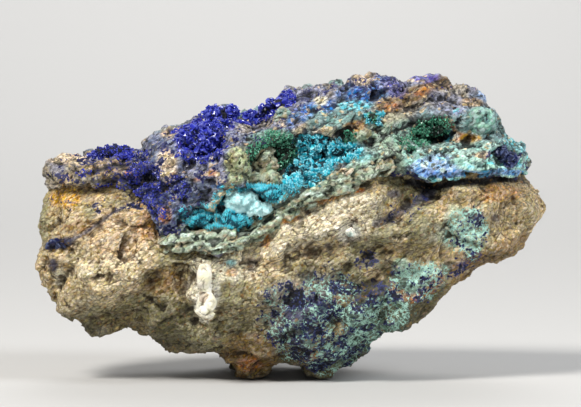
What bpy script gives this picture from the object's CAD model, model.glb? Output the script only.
"""The finished look of a brochantite specimen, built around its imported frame.

The specimen is one loose piece: broken host rock under a crust of copper minerals, with druses of
azurite, sprays of brochantite needles and small nodules. Tables hold millimetres in the frame's own
axes: x to the right along the display face, y away from it, z up. MM turns them into metres.
"""

import logging
import math
from collections.abc import Callable, Iterable, Sequence
from dataclasses import dataclass
from enum import Enum
from functools import cache

import bmesh
import bpy
import numpy as np
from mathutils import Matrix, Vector
from mathutils.bvhtree import BVHTree


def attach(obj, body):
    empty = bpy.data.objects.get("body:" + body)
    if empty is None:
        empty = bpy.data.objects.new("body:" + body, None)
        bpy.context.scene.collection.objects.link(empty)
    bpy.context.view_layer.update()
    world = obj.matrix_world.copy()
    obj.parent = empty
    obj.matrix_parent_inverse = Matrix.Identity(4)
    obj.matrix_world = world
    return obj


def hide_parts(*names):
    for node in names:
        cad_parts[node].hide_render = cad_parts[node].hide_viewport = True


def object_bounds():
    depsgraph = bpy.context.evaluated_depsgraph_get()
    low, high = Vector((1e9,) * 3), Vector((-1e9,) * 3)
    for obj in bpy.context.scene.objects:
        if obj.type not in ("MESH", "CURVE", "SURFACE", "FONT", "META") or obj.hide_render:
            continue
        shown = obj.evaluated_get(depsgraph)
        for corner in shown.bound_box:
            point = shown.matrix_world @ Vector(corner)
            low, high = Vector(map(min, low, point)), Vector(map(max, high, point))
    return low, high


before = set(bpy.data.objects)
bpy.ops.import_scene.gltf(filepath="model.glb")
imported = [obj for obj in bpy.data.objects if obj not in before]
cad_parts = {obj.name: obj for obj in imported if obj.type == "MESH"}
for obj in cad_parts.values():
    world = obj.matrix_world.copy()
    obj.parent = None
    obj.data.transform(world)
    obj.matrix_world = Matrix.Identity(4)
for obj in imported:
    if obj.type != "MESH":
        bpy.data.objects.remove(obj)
CAD_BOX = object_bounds()

Socket = bpy.types.NodeSocket
Tree = bpy.types.NodeTree
Piece = bpy.types.Object
Array = np.ndarray
Work = bmesh.types.BMesh

LOG = logging.getLogger("specimen")
MM = 0.001
BODY = "root"

# Where the display face is looked at from. Its zones are laid out as they are seen from there.
VIEW_TILT = math.radians(3.0)
VIEW_DISTANCE = 585.0
VIEW_HEIGHT = 34.9

# Whole numbers that stir lattice positions into random ones.
HASH_STRIDES = (73856093, 19349663, 83492791)
HASH_SEED = 2654435761
HASH_MIX = 1274126177


# ---- Colours ---------------------------------------------------------------------------------------


class Tint(Enum):
    """Colours of the minerals and their weathering, as sRGB hexadecimal values."""

    CREAM = "efdcb4"
    TAN = "d6bd90"
    PINK_TAN = "e0c6a0"
    PALE = "f0ead0"
    WHITE = "f4f0e2"
    GREY_BROWN = "aea080"
    OLIVE = "9a9470"
    OLIVE_DARK = "706a48"
    BROWN = "8a6a3a"
    DARK_BROWN = "4a3824"
    RUST = "c07a3c"
    ORANGE = "d99a5a"
    LIMONITE = "e0ac4c"
    PEACH = "e6cfae"
    MINT = "b4e0d0"
    MINT_DEEP = "84b4a2"
    MINT_WHITE = "dcf0e2"
    SAGE = "a2b49c"
    YELLOW_GREEN = "bccb9e"
    EMERALD = "1c5c46"
    MALACHITE_GREEN = "3f8c70"
    DARK_GREEN = "05190f"
    JADE = "7fbf9f"
    DEEP_TEAL = "052a34"
    TEAL_DARK = "05485a"
    TEAL = "067488"
    TEAL_BRIGHT = "10a4c2"
    AQUA_BRIGHT = "40e2f6"
    TURQUOISE = "22c4da"
    CYAN = "7fe0f0"
    SILK = "ccf4f6"
    AQUA_GREY = "84a8a4"
    AZURE = "5a8cd2"
    PERIWINKLE = "a0c0ea"
    VIOLET = "5c58b0"
    VIOLET_GREY = "9296b2"
    BLUE_GREY = "6c7a9e"
    SLATE = "5a6680"
    DEEP_BLUE = "1c2a72"
    NAVY = "141c4a"
    BLACK_NAVY = "0c1020"
    ULTRAMARINE_DEEP = "141a72"
    ULTRAMARINE = "242ca0"
    BLUE_GLINT = "6a74c8"

    @property
    def linear(self) -> Array:
        """The colour in linear light."""
        srgb = np.array([int(self.value[i : i + 2], 16) for i in (0, 2, 4)]) / 255
        return np.where(srgb <= 0.04045, srgb / 12.92, ((srgb + 0.055) / 1.055) ** 2.4)

    @property
    def rgba(self) -> tuple[float, float, float, float]:
        """The colour in linear light with full alpha, as a colour socket takes it."""
        r, g, b = self.linear
        return float(r), float(g), float(b), 1.0


# ---- Noise and zones -------------------------------------------------------------------------------


def smooth_step(low: float, high: float, value: Array) -> Array:
    """Eases from 0 at low to 1 at high; low may be the larger of the two."""
    t = np.clip((value - low) / (high - low), 0, 1)
    return t * t * (3 - 2 * t)


def corner_gradient(cell: Array, seed: int) -> Array:
    """A pseudo-random vector for each lattice cell.

    Args:
        cell: whole-number lattice positions, one row for each point.
        seed: changes every vector.

    Returns:
        One vector for each row, with components from -1 to 1.
    """
    a, b, c = (cell * HASH_STRIDES).T
    mixed = a ^ b ^ c ^ seed * HASH_SEED
    mixed = (mixed ^ (mixed >> 13)) * HASH_MIX
    mixed = mixed ^ (mixed >> 16)
    parts = np.stack([mixed & 1023, (mixed >> 10) & 1023, (mixed >> 20) & 1023], axis=1)
    return parts / 511.5 - 1


def lattice_noise(points: Array, seed: int) -> Array:
    """Smooth noise with one lump to each unit cell.

    Args:
        points: one position for each row.
        seed: changes the noise.

    Returns:
        One value for each row, from about -1 to 1.
    """
    cell = np.floor(points).astype(np.int64)
    part = points - cell
    fade = part**3 * (part * (part * 6 - 15) + 10)
    total = np.zeros(len(points))
    for corner in np.ndindex(2, 2, 2):
        offset = np.array(corner)
        weight = np.prod(np.where(offset, fade, 1 - fade), axis=1)
        total += weight * np.sum(corner_gradient(cell + offset, seed) * (part - offset), axis=1)
    return total * 1.3


def fractal_noise(points: Array, octaves: int, seed: int) -> Array:
    """Layers of lattice noise, each half as large and half as strong as the one before.

    Args:
        points: one position for each row.
        octaves: how many layers.
        seed: changes the noise.

    Returns:
        One value for each row, around 0.
    """
    total = np.zeros(len(points))
    for octave in range(octaves):
        total += lattice_noise(points * 2**octave, seed + octave) / 2**octave
    return total


@dataclass(frozen=True)
class Spot:
    """An elliptical zone of the display face: centre, half axes and turn in degrees."""

    x: float
    z: float
    half_x: float
    half_z: float
    turn: float = 0.0

    def reach(self, x: Array, z: Array) -> Array:
        """How far out each place is.

        Args:
            x: the places' distance to the right.
            z: their height.

        Returns:
            0 at the middle of the zone and 1 on its rim.
        """
        turn = math.radians(self.turn)
        u = (x - self.x) * math.cos(turn) + (z - self.z) * math.sin(turn)
        v = (z - self.z) * math.cos(turn) - (x - self.x) * math.sin(turn)
        return np.hypot(u / self.half_x, v / self.half_z)


@dataclass(frozen=True)
class Streak:
    """A band of the display face along a line of points."""

    half_width: float
    points: tuple[tuple[float, float], ...]

    def reach(self, x: Array, z: Array) -> Array:
        """How far out each place is.

        Args:
            x: the places' distance to the right.
            z: their height.

        Returns:
            0 on the line and 1 on the band's rim.
        """
        nearest = np.full(len(x), np.inf)
        for (ax, az), (bx, bz) in zip(self.points, self.points[1:]):
            ex, ez = bx - ax, bz - az
            t = np.clip(((x - ax) * ex + (z - az) * ez) / (ex * ex + ez * ez), 0, 1)
            nearest = np.minimum(nearest, np.hypot(x - ax - t * ex, z - az - t * ez))
        return nearest / self.half_width


Zone = Spot | Streak
Patch = tuple[Zone, float]


@dataclass(frozen=True)
class Stain:
    """A mineral colour laid over a zone."""

    tint: Tint
    zone: Zone
    strength: float = 1.0


def stains(*rows: tuple) -> tuple[Stain, ...]:
    """Stains from rows of a tint, a zone and, where it is less than 1, a strength."""
    return tuple(Stain(*row) for row in rows)


@dataclass(frozen=True)
class Dent:
    """A hollow pressed into the display face over a zone; a negative depth swells it."""

    depth: float
    zone: Zone


@dataclass(frozen=True)
class Notch:
    """A dip in the skyline: lowers what lies within reach of x and above a level."""

    x: float
    half_width: float
    level: float
    drop: float

    def lowered(self, across: Array, up: Array) -> Array:
        """How far each point sinks."""
        near = smooth_step(1.0, 0.0, np.abs(across - self.x) / self.half_width)
        return near * self.drop * smooth_step(self.level - 3.0, self.level, up)


class Surface:
    """The vertices of one piece, in millimetres, with the noise that breaks up the rims of its zones."""

    RAGGED = 0.32
    SOFT = 0.22

    def __init__(self, piece: Piece) -> None:
        """Reads the piece's vertices.

        Args:
            piece: the object.
        """
        self.piece = piece
        flat = np.empty(len(piece.data.vertices) * 3)
        piece.data.vertices.foreach_get("co", flat)
        self.points = flat.reshape(-1, 3) / MM
        self.x, self.y, self.z = self.points.T
        nearer = VIEW_DISTANCE / (VIEW_DISTANCE + self.y)
        self.across = self.x * nearer
        self.up = (self.z - VIEW_HEIGHT + self.y * math.sin(VIEW_TILT)) * nearer + VIEW_HEIGHT
        self.front = smooth_step(5, -1, self.y)
        self.wobble = fractal_noise(self.points / 3.4, 4, 11)

    def cover(self, zone: Zone, soft: float = SOFT) -> Array:
        """How far each vertex lies in a zone of the display face.

        Args:
            zone: the zone.
            soft: the width of its rim, as a share of its reach.

        Returns:
            A value from 0 to 1 for each vertex.
        """
        reach = zone.reach(self.across, self.up) + self.RAGGED * self.wobble
        return smooth_step(1 + soft, 1 - soft, reach) * self.front

    def cover_any(self, zones: Iterable[Zone]) -> Array:
        """How far each vertex lies in the nearest of several zones, from 0 to 1."""
        return self.strongest([(zone, 1.0) for zone in zones])

    def strongest(self, patches: Iterable[Patch]) -> Array:
        """The strongest of several patches at each vertex.

        Args:
            patches: zones, each with its strength.

        Returns:
            One value for each vertex, or 0 outside them all.
        """
        most = np.zeros(len(self.x))
        for zone, strength in patches:
            most = np.maximum(most, self.cover(zone) * strength)
        return most

    def paint(self, base: Array, stains: Iterable[Stain]) -> Array:
        """Lays stains over a base colour, in order.

        Args:
            base: one linear colour for each vertex.
            stains: what is laid over it.

        Returns:
            The finished colour of each vertex.
        """
        colour = base.copy()
        for stain in stains:
            share = (self.cover(stain.zone) * stain.strength)[:, None]
            colour += (stain.tint.linear - colour) * share
        return colour

    def move(self, points: Array) -> None:
        """Gives the piece new vertex positions, in millimetres."""
        self.piece.data.vertices.foreach_set("co", (points * MM).ravel())
        self.piece.data.update()

    def store(self, name: str, values: Array | float) -> None:
        """Keeps a value of each vertex as a named attribute.

        Args:
            name: the attribute.
            values: one number for all, or a number or a linear colour for each vertex.
        """
        values = np.broadcast_to(values, len(self.x)) if np.ndim(values) == 0 else values
        kind = "FLOAT" if values.ndim == 1 else "FLOAT_COLOR"
        layer = self.layer(name, kind)
        if kind == "FLOAT":
            layer.data.foreach_set("value", values.astype(np.float32))
            return
        alpha = np.ones((len(values), 1))
        layer.data.foreach_set("color", np.hstack([values, alpha]).astype(np.float32).ravel())

    def store_direction(self, name: str, values: Array) -> None:
        """Keeps one direction for each vertex as a named attribute."""
        self.layer(name, "FLOAT_VECTOR").data.foreach_set("vector", values.astype(np.float32).ravel())

    def layer(self, name: str, kind: str) -> bpy.types.Attribute:
        """A named attribute, made afresh.

        Args:
            name: its name.
            kind: its type.

        Returns:
            The attribute.
        """
        attributes = self.piece.data.attributes
        if name in attributes:
            attributes.remove(attributes[name])
        return attributes.new(name, kind, "POINT")


# ---- Node graphs -----------------------------------------------------------------------------------

FLOAT = "NodeSocketFloat"
WHOLE = "NodeSocketInt"
COLOUR = "NodeSocketColor"
VECTOR = "NodeSocketVector"
GEOMETRY = "NodeSocketGeometry"
MIDDLE = (0.5, 0.5, 0.5)
GREY = (*MIDDLE, 1.0)


class Graph:
    """Adds nodes to one node tree and links them."""

    def __init__(self, tree: Tree) -> None:
        """Takes the tree to build in."""
        self.tree = tree

    def feed(self, socket: Socket, value: object) -> None:
        """Links a socket to another one, or sets its value.

        Args:
            socket: the socket to feed.
            value: the other socket, or the value.
        """
        if isinstance(value, Socket):
            self.tree.links.new(value, socket)
        else:
            socket.default_value = value

    def add(self, kind: str, feeds: dict | None = None, **settings: object) -> bpy.types.Node:
        """Adds one node.

        Args:
            kind: the node's type.
            feeds: socket name or number to the socket or value that feeds it.
            settings: the node's own properties.

        Returns:
            The node.
        """
        node = self.tree.nodes.new(kind)
        for name, value in settings.items():
            setattr(node, name, value)
        for name, value in (feeds or {}).items():
            self.feed(node.inputs[name], value)
        return node

    def math(self, operation: str, *values: object, clamp: bool = False) -> Socket:
        """The result of a Math node on one to three values."""
        node = self.add("ShaderNodeMath", dict(enumerate(values)), operation=operation, use_clamp=clamp)
        return node.outputs[0]

    def plus(self, a: object, b: object, clamp: bool = False) -> Socket:
        """The sum of two numbers."""
        return self.math("ADD", a, b, clamp=clamp)

    def minus(self, a: object, b: object, clamp: bool = False) -> Socket:
        """What is left of one number less another."""
        return self.math("SUBTRACT", a, b, clamp=clamp)

    def times(self, a: object, b: object) -> Socket:
        """The product of two numbers."""
        return self.math("MULTIPLY", a, b)

    def vector(self, operation: str, *values: object) -> Socket:
        """The result of a Vector Math node.

        Args:
            operation: the node's operation.
            values: what feeds its first inputs.

        Returns:
            A number for a dot product, else a vector.
        """
        node = self.add("ShaderNodeVectorMath", operation=operation)
        for socket, value in zip(node.inputs, values):
            self.feed(socket, value)
        return node.outputs["Value" if operation == "DOT_PRODUCT" else "Vector"]

    def scaled(self, value: object, scale: object) -> Socket:
        """A vector times a number."""
        node = self.add("ShaderNodeVectorMath", {0: value, "Scale": scale}, operation="SCALE")
        return node.outputs["Vector"]

    def blend(self, share: object, a: object, b: object, mode: str = "MIX") -> Socket:
        """Two colours mixed; a share of 0 gives a, and 1 gives b."""
        node = self.add("ShaderNodeMix", {0: share, 6: a, 7: b}, data_type="RGBA", blend_type=mode)
        return node.outputs[2]

    def between(self, value: object, low: object, high: object, to: Sequence[float] = (0.0, 1.0)) -> Socket:
        """A number moved smoothly from one range into another.

        Args:
            value: the number.
            low: start of its range.
            high: end of its range, which may be the smaller of the two.
            to: what low and high turn into.

        Returns:
            The result.
        """
        feeds = {"Value": value, "From Min": low, "From Max": high, "To Min": to[0], "To Max": to[1]}
        return self.add("ShaderNodeMapRange", feeds, interpolation_type="SMOOTHSTEP").outputs["Result"]

    def noise(self, place: object, scale: object, detail: float = 2.0, roughness: object = 0.5) -> object:
        """Adds a noise texture, and gives its outputs."""
        feeds = {"Vector": place, "Scale": scale, "Detail": detail, "Roughness": roughness}
        return self.add("ShaderNodeTexNoise", feeds).outputs


def add_sockets(tree: Tree, way: str, sockets: dict[str, tuple]) -> None:
    """Adds a tree's named inputs or outputs.

    Args:
        tree: the node tree.
        way: INPUT or OUTPUT.
        sockets: name to socket type and, for an input, its default value.
    """
    for name, (kind, *default) in sockets.items():
        socket = tree.interface.new_socket(name=name, in_out=way, socket_type=kind)
        if default:
            socket.default_value = default[0]


def node_group(kind: str, name: str, inputs: dict[str, tuple], outputs: dict[str, tuple]) -> Callable:
    """Turns a function that builds nodes into one that gives a node group, built only once.

    Args:
        kind: the group's type.
        name: its name.
        inputs: its inputs, as add_sockets takes them.
        outputs: its outputs.

    Returns:
        The decorator, for a function that takes a graph and what the group's inputs give, and gives
        output name to socket.
    """

    def wrap(build: Callable) -> Callable:
        """Wraps the function.

        Args:
            build: adds the group's nodes.

        Returns:
            What gives the group.
        """

        @cache
        def group() -> Tree:
            """Builds the group.

            Returns:
                Its tree.
            """
            tree = bpy.data.node_groups.new(name, kind)
            add_sockets(tree, "INPUT", inputs)
            add_sockets(tree, "OUTPUT", outputs)
            g = Graph(tree)
            g.add("NodeGroupOutput", build(g, g.add("NodeGroupInput").outputs))
            return tree

        return group

    return wrap


def shaping(name: str, inputs: dict[str, tuple]) -> Callable:
    """As node_group, for a Geometry Nodes tree that takes a geometry and gives one."""
    inputs = {"Geometry": (GEOMETRY,), **inputs}
    return node_group("GeometryNodeTree", name, inputs, {"Geometry": (GEOMETRY,)})


def cell_height(name: str, size: float) -> Callable:
    """As node_group, for a tree that gives a height over cells about this wide, in metres."""
    inputs = {"Position": (VECTOR,), "Size": (FLOAT, size), "Height": (FLOAT, 0.0005)}
    return node_group("GeometryNodeTree", name, inputs, {"Height": (FLOAT,)})


def voronoi(g: Graph, place: Socket, given: object) -> tuple[Socket, object]:
    """Adds cells as wide as input Size, and gives their scale and the outputs of their node."""
    scale = g.math("DIVIDE", 1.0, given["Size"])
    return scale, g.add("ShaderNodeTexVoronoi", {"Vector": place, "Scale": scale}).outputs


def bedded_place(g: Graph, place: Socket, given: object) -> Socket:
    """A place turned by input Dip about y, and drawn together by input Squeeze along the rock's bed."""
    turned = g.add("ShaderNodeVectorRotate", {"Vector": place, "Angle": given["Dip"]}, rotation_type="Y_AXIS")
    return g.vector("MULTIPLY", turned.outputs[0], given["Squeeze"])


def blurred(g: Graph, value: Socket, steps: object) -> Socket:
    """Averages a vector over its neighbours.

    Args:
        g: the graph of a Geometry Nodes tree.
        value: the vector.
        steps: how many times it is averaged.

    Returns:
        The averaged vector.
    """
    node = g.add("GeometryNodeBlurAttribute", {"Iterations": steps}, data_type="FLOAT_VECTOR")
    g.feed(next(s for s in node.inputs if s.type == "VECTOR" and s.enabled), value)
    return next(s for s in node.outputs if s.type == "VECTOR" and s.enabled)


def named(graph: Graph, name: str, kind: str = "FLOAT") -> Socket:
    """A named attribute, read in Geometry Nodes."""
    node = graph.add("GeometryNodeInputNamedAttribute", {"Name": name}, data_type=kind)
    return node.outputs["Attribute"]


def run_tree(piece: Piece, tree: Tree, values: dict[str, object]) -> None:
    """Runs a Geometry Nodes tree on a piece and keeps the result as its plain mesh.

    Args:
        piece: the piece, whose own mesh goes in.
        tree: the tree.
        values: input name to value.
    """
    modifier = piece.modifiers.new(tree.name, "NODES")
    modifier.node_group = tree
    for item in tree.interface.items_tree:
        if item.item_type == "SOCKET" and item.in_out == "INPUT" and item.name in values:
            modifier[item.identifier] = values[item.name]
    keep_result(piece)


def keep_result(piece: Piece) -> None:
    """Turns what a piece's modifiers make into its plain mesh, and removes them.

    Args:
        piece: the piece, which keeps its name and its named attributes.
    """
    bpy.context.view_layer.update()
    graph = bpy.context.evaluated_depsgraph_get()
    result = piece.evaluated_get(graph)
    made = bpy.data.meshes.new_from_object(result, preserve_all_data_layers=True, depsgraph=graph)
    piece.modifiers.clear()
    old = piece.data
    piece.data = made
    made.name = piece.name
    bpy.data.meshes.remove(old)


# ---- Relief ----------------------------------------------------------------------------------------


@cell_height("Facet height", 0.004)
def facets_tree(g: Graph, given: object) -> dict[str, Socket]:
    """Height of a broken face: cells that each tilt their own way.

    Args:
        g: the group's graph.
        given: what its inputs give.

    Returns:
        What its outputs get.
    """
    scale, cells = voronoi(g, given["Position"], given)
    tilt = g.vector("SUBTRACT", cells["Color"], MIDDLE)
    local = g.scaled(g.vector("SUBTRACT", given["Position"], cells["Position"]), scale)
    slope = g.times(g.vector("DOT_PRODUCT", tilt, local), 3.0)
    level = g.vector("DOT_PRODUCT", tilt, (0.7, 0.0, 0.0))
    height = g.times(g.plus(slope, level), given["Height"])
    return {"Height": height}


@cell_height("Knob height", 0.002)
def knobs_tree(g: Graph, given: object) -> dict[str, Socket]:
    """Height of a knobbly face: rounded bumps that touch.

    Args:
        g: the group's graph.
        given: what its inputs give.

    Returns:
        What its outputs get.
    """
    _, cells = voronoi(g, given["Position"], given)
    far = g.times(cells["Distance"], 1.25)
    dome = g.math("SQRT", g.math("MAXIMUM", g.minus(1.0, g.times(far, far)), 0.0))
    level = g.minus(dome, 0.6)
    return {"Height": g.times(level, given["Height"])}


@shaping("Rock relief", {
    "Chunk Size": (FLOAT, 0.008), "Chunk Height": (FLOAT, 0.0012),
    "Flake Size": (FLOAT, 0.003), "Flake Height": (FLOAT, 0.0006),
    "Grain Size": (FLOAT, 0.0012), "Grain Height": (FLOAT, 0.00035),
    "Knob Size": (FLOAT, 0.0026), "Knob Height": (FLOAT, 0.0009),
    "Bead Size": (FLOAT, 0.0011), "Bead Height": (FLOAT, 0.0004),
    "Dip": (FLOAT, 0.5), "Squeeze": (VECTOR, (0.62, 1.0, 1.0)),
})
def rock_tree(g: Graph, given: object) -> dict[str, Socket]:
    """Relief over a whole body.

    Attribute knobby goes from broken at 0 to knobbly at 1, and attribute held keeps it flat at 1.

    Args:
        g: the group's graph.
        given: what its inputs give.

    Returns:
        What its outputs get.
    """
    position = g.add("GeometryNodeInputPosition").outputs[0]
    normal = g.add("GeometryNodeInputNormal").outputs[0]
    warp = g.noise(position, 260.0)["Color"]
    shift = g.scaled(g.vector("SUBTRACT", warp, MIDDLE), 0.0018)
    warped = g.vector("ADD", position, shift)
    bedded = bedded_place(g, warped, given)
    heights = {}
    for name in ("Chunk", "Flake", "Grain", "Knob", "Bead"):
        group = knobs_tree() if name in ("Knob", "Bead") else facets_tree()
        node = g.add("GeometryNodeGroup", node_tree=group)
        g.feed(node.inputs["Position"], bedded)
        g.feed(node.inputs["Size"], given[name + " Size"])
        g.feed(node.inputs["Height"], given[name + " Height"])
        heights[name] = node.outputs["Height"]
    broken = g.plus(g.plus(heights["Chunk"], heights["Flake"]), heights["Grain"])
    knobs_only = g.plus(heights["Knob"], heights["Bead"])
    knobbly = g.plus(knobs_only, g.times(heights["Chunk"], 0.5))
    knobby = named(g, "knobby")
    height = g.add("ShaderNodeMix", {0: knobby, 2: broken, 3: knobbly}, data_type="FLOAT").outputs[0]
    free = g.minus(1.0, named(g, "held"))
    offset = g.scaled(normal, g.times(height, free))
    moved = g.add("GeometryNodeSetPosition", {"Geometry": given["Geometry"], "Offset": offset})
    return {"Geometry": moved.outputs[0]}


@shaping("Swell", {
    "Size": (FLOAT, 0.009), "Height": (FLOAT, 0.003), "Roughness": (FLOAT, 0.55),
    "Sink": (FLOAT, 0.6), "Crease": (FLOAT, 1.2),
    "Dip": (FLOAT, 0.5), "Squeeze": (VECTOR, (0.62, 1.0, 1.0)),
})
def swell_tree(g: Graph, given: object) -> dict[str, Socket]:
    """Pushes a smooth body in and out with layered noise, stretched along its bed.

    Args:
        g: the group's graph.
        given: what its inputs give.

    Returns:
        What its outputs get.
    """
    position = g.add("GeometryNodeInputPosition").outputs[0]
    normal = g.add("GeometryNodeInputNormal").outputs[0]
    bedded = bedded_place(g, position, given)
    scale = g.math("DIVIDE", 1.0, given["Size"])
    noise = g.noise(bedded, scale, 4.0, given["Roughness"])[0]
    elsewhere = g.vector("ADD", g.scaled(bedded, 1.7), (0.3, 0.1, 0.2))
    other = g.noise(elsewhere, scale, 4.0, given["Roughness"])[0]
    crease = g.math("ABSOLUTE", g.minus(other, 0.5))
    both = g.plus(noise, g.times(crease, given["Crease"]))
    level = g.times(g.minus(both, given["Sink"]), given["Height"])
    free = g.minus(1.0, named(g, "held"))
    offset = g.scaled(normal, g.times(level, free))
    moved = g.add("GeometryNodeSetPosition", {"Geometry": given["Geometry"], "Offset": offset})
    return {"Geometry": moved.outputs[0]}


@shaping("Soften", {"Steps": (WHOLE, 8)})
def soften_tree(g: Graph, given: object) -> dict[str, Socket]:
    """Rounds off a body by blurring its vertex positions.

    Args:
        g: the group's graph.
        given: what its inputs give.

    Returns:
        What its outputs get.
    """
    position = g.add("GeometryNodeInputPosition").outputs[0]
    feeds = {"Geometry": given["Geometry"], "Position": blurred(g, position, given["Steps"])}
    moved = g.add("GeometryNodeSetPosition", feeds)
    return {"Geometry": moved.outputs[0]}


@shaping("Measure relief", {"Steps": (WHOLE, 8), "Span": (FLOAT, 0.0005), "Wide": (FLOAT, 0.3)})
def cavities_tree(g: Graph, given: object) -> dict[str, Socket]:
    """Stores attribute relief: above 0.5 on ridges and grains, and below it in cracks and pits.

    Args:
        g: the group's graph.
        given: what its inputs give.

    Returns:
        What its outputs get.
    """
    position = g.add("GeometryNodeInputPosition").outputs[0]
    outward = blurred(g, g.add("GeometryNodeInputNormal").outputs[0], 3)

    def above(steps: object) -> Socket:
        """How far the surface stands above its own blur."""
        raised = g.vector("SUBTRACT", position, blurred(g, position, steps))
        return g.vector("DOT_PRODUCT", raised, outward)

    near = above(given["Steps"])
    wide = above(g.times(given["Steps"], 6.0))
    height = g.plus(near, g.times(wide, given["Wide"]))
    share = g.plus(g.math("DIVIDE", height, given["Span"]), 0.5, clamp=True)
    feeds = {"Geometry": given["Geometry"], "Name": "relief", "Value": share}
    stored = g.add("GeometryNodeStoreNamedAttribute", feeds, data_type="FLOAT", domain="POINT")
    return {"Geometry": stored.outputs[0]}


@shaping("Scatter", {
    "Form": ("NodeSocketObject",), "Spacing": (FLOAT, 0.0005), "Per Area": (FLOAT, 2e6),
    "Smallest": (FLOAT, 0.7), "Largest": (FLOAT, 1.3), "Lean": (FLOAT, 0.5), "Sunk": (FLOAT, 0.0001),
    "Seed": (WHOLE, 1), "Material": ("NodeSocketMaterial",),
    "Keep Ground": ("NodeSocketBool", False),
})
def scatter_tree(g: Graph, given: object) -> dict[str, Socket]:
    """Grows copies of one form out of a surface, thicker where attribute growth is near 1.

    Args:
        g: the group's graph.
        given: what its inputs give.

    Returns:
        What its outputs get.
    """
    feeds = {
        "Mesh": given["Geometry"], "Distance Min": given["Spacing"], "Density Max": given["Per Area"],
        "Density Factor": named(g, "growth"), "Seed": given["Seed"],
    }
    spread = g.add("GeometryNodeDistributePointsOnFaces", feeds, distribute_method="POISSON")

    def random(kind: str, low: object, high: object, offset: int) -> Socket:
        """A random value for each copy.

        Args:
            kind: its type.
            low: the least it may be.
            high: the most.
            offset: what tells its draws apart.

        Returns:
            The value.
        """
        node = g.add("FunctionNodeRandomValue", data_type=kind)
        fed = [s for s in node.inputs if s.enabled]
        g.feed(fed[0], low)
        g.feed(fed[1], high)
        g.feed(node.inputs["Seed"], g.plus(given["Seed"], float(offset)))
        return next(s for s in node.outputs if s.enabled)

    lean = g.scaled(random("FLOAT_VECTOR", (-1.0, -1.0, -1.0), (1.0, 1.0, 1.0), 1), given["Lean"])
    flow = named(g, "flow", "FLOAT_VECTOR")
    towards = g.vector("ADD", g.vector("ADD", spread.outputs["Normal"], flow), lean)
    align = g.add("FunctionNodeAlignRotationToVector", {"Vector": towards}, axis="Z")
    feeds = {"Axis": (0.0, 0.0, 1.0), "Angle": random("FLOAT", 0.0, 6.283, 2)}
    turn = g.add("FunctionNodeAxisAngleToRotation", feeds)
    feeds = {"Rotation": align.outputs[0], "Rotate By": turn.outputs[0]}
    rotation = g.add("FunctionNodeRotateRotation", feeds, rotation_space="LOCAL")
    form = g.add("GeometryNodeObjectInfo", {"Object": given["Form"]}, transform_space="ORIGINAL")
    down = g.scaled(spread.outputs["Normal"], g.times(given["Sunk"], -1.0))
    feeds = {"Geometry": spread.outputs["Points"], "Offset": down}
    points = g.add("GeometryNodeSetPosition", feeds)
    feeds = {"Geometry": points.outputs[0], "Name": "shade", "Value": random("FLOAT", 0.0, 1.0, 4)}
    shaded = g.add("GeometryNodeStoreNamedAttribute", feeds, data_type="FLOAT", domain="POINT")
    feeds = {
        "Points": shaded.outputs[0], "Instance": form.outputs["Geometry"],
        "Rotation": rotation.outputs[0], "Scale": random("FLOAT", given["Smallest"], given["Largest"], 3),
    }
    copies = g.add("GeometryNodeInstanceOnPoints", feeds)
    real = g.add("GeometryNodeRealizeInstances", {"Geometry": copies.outputs[0]})
    feeds = {"Switch": given["Keep Ground"], "True": given["Geometry"]}
    ground = g.add("GeometryNodeSwitch", feeds, input_type="GEOMETRY")
    joined = g.add("GeometryNodeJoinGeometry")
    g.feed(joined.inputs[0], real.outputs[0])
    g.feed(joined.inputs[0], ground.outputs[0])
    feeds = {"Geometry": joined.outputs[0], "Material": given["Material"]}
    dressed = g.add("GeometryNodeSetMaterial", feeds)
    return {"Geometry": dressed.outputs[0]}


# ---- Where the colours lie -------------------------------------------------------------------------
#
# Lines and zones of the display face, x and z in millimetres as they are seen from the front.

RIB = ((-14, 43), (-10, 48), (-5, 51), (0, 54))
VEIN = ((-48.5, 26.3), (-46, 27), (-42, 28.6), (-38.5, 31.2), (-36, 33), (-33.5, 34.2))
LIP = (
    (-26.5, 26.8), (-20, 27.6), (-12, 28.2), (-6, 30.2), (-2, 33.2), (3, 36.4), (8, 38.4),
    (14, 40), (20, 42.8),
)
SHELF = (
    (23.5, 42.8), (27, 40.8), (30, 40.9), (33.5, 41.7), (37, 41.2), (41, 42), (44, 41.3),
    (47.3, 41.5),
)
UNDER_SHELF = ((23.5, 39.4), (28, 38.1), (33, 39.2), (38, 39.3), (43, 40), (48, 39.4))
CONTACT = (
    (-50, 37.8), (-42, 38.4), (-38, 39.2), (-34.5, 38.2), (-31.5, 35.4), (-28, 33.2), (-26.8, 26.8),
    (-22, 25.8), (-17.5, 25.2), (-10.5, 26.6), (-5, 29.2), (0, 32.2), (5, 35.6), (10, 37.8),
    (15, 39), (20, 40.4), (25, 40.2), (30, 39.6), (34, 40.5), (38, 40.2), (43, 40.4),
    (50, 40.3),
)

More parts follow.
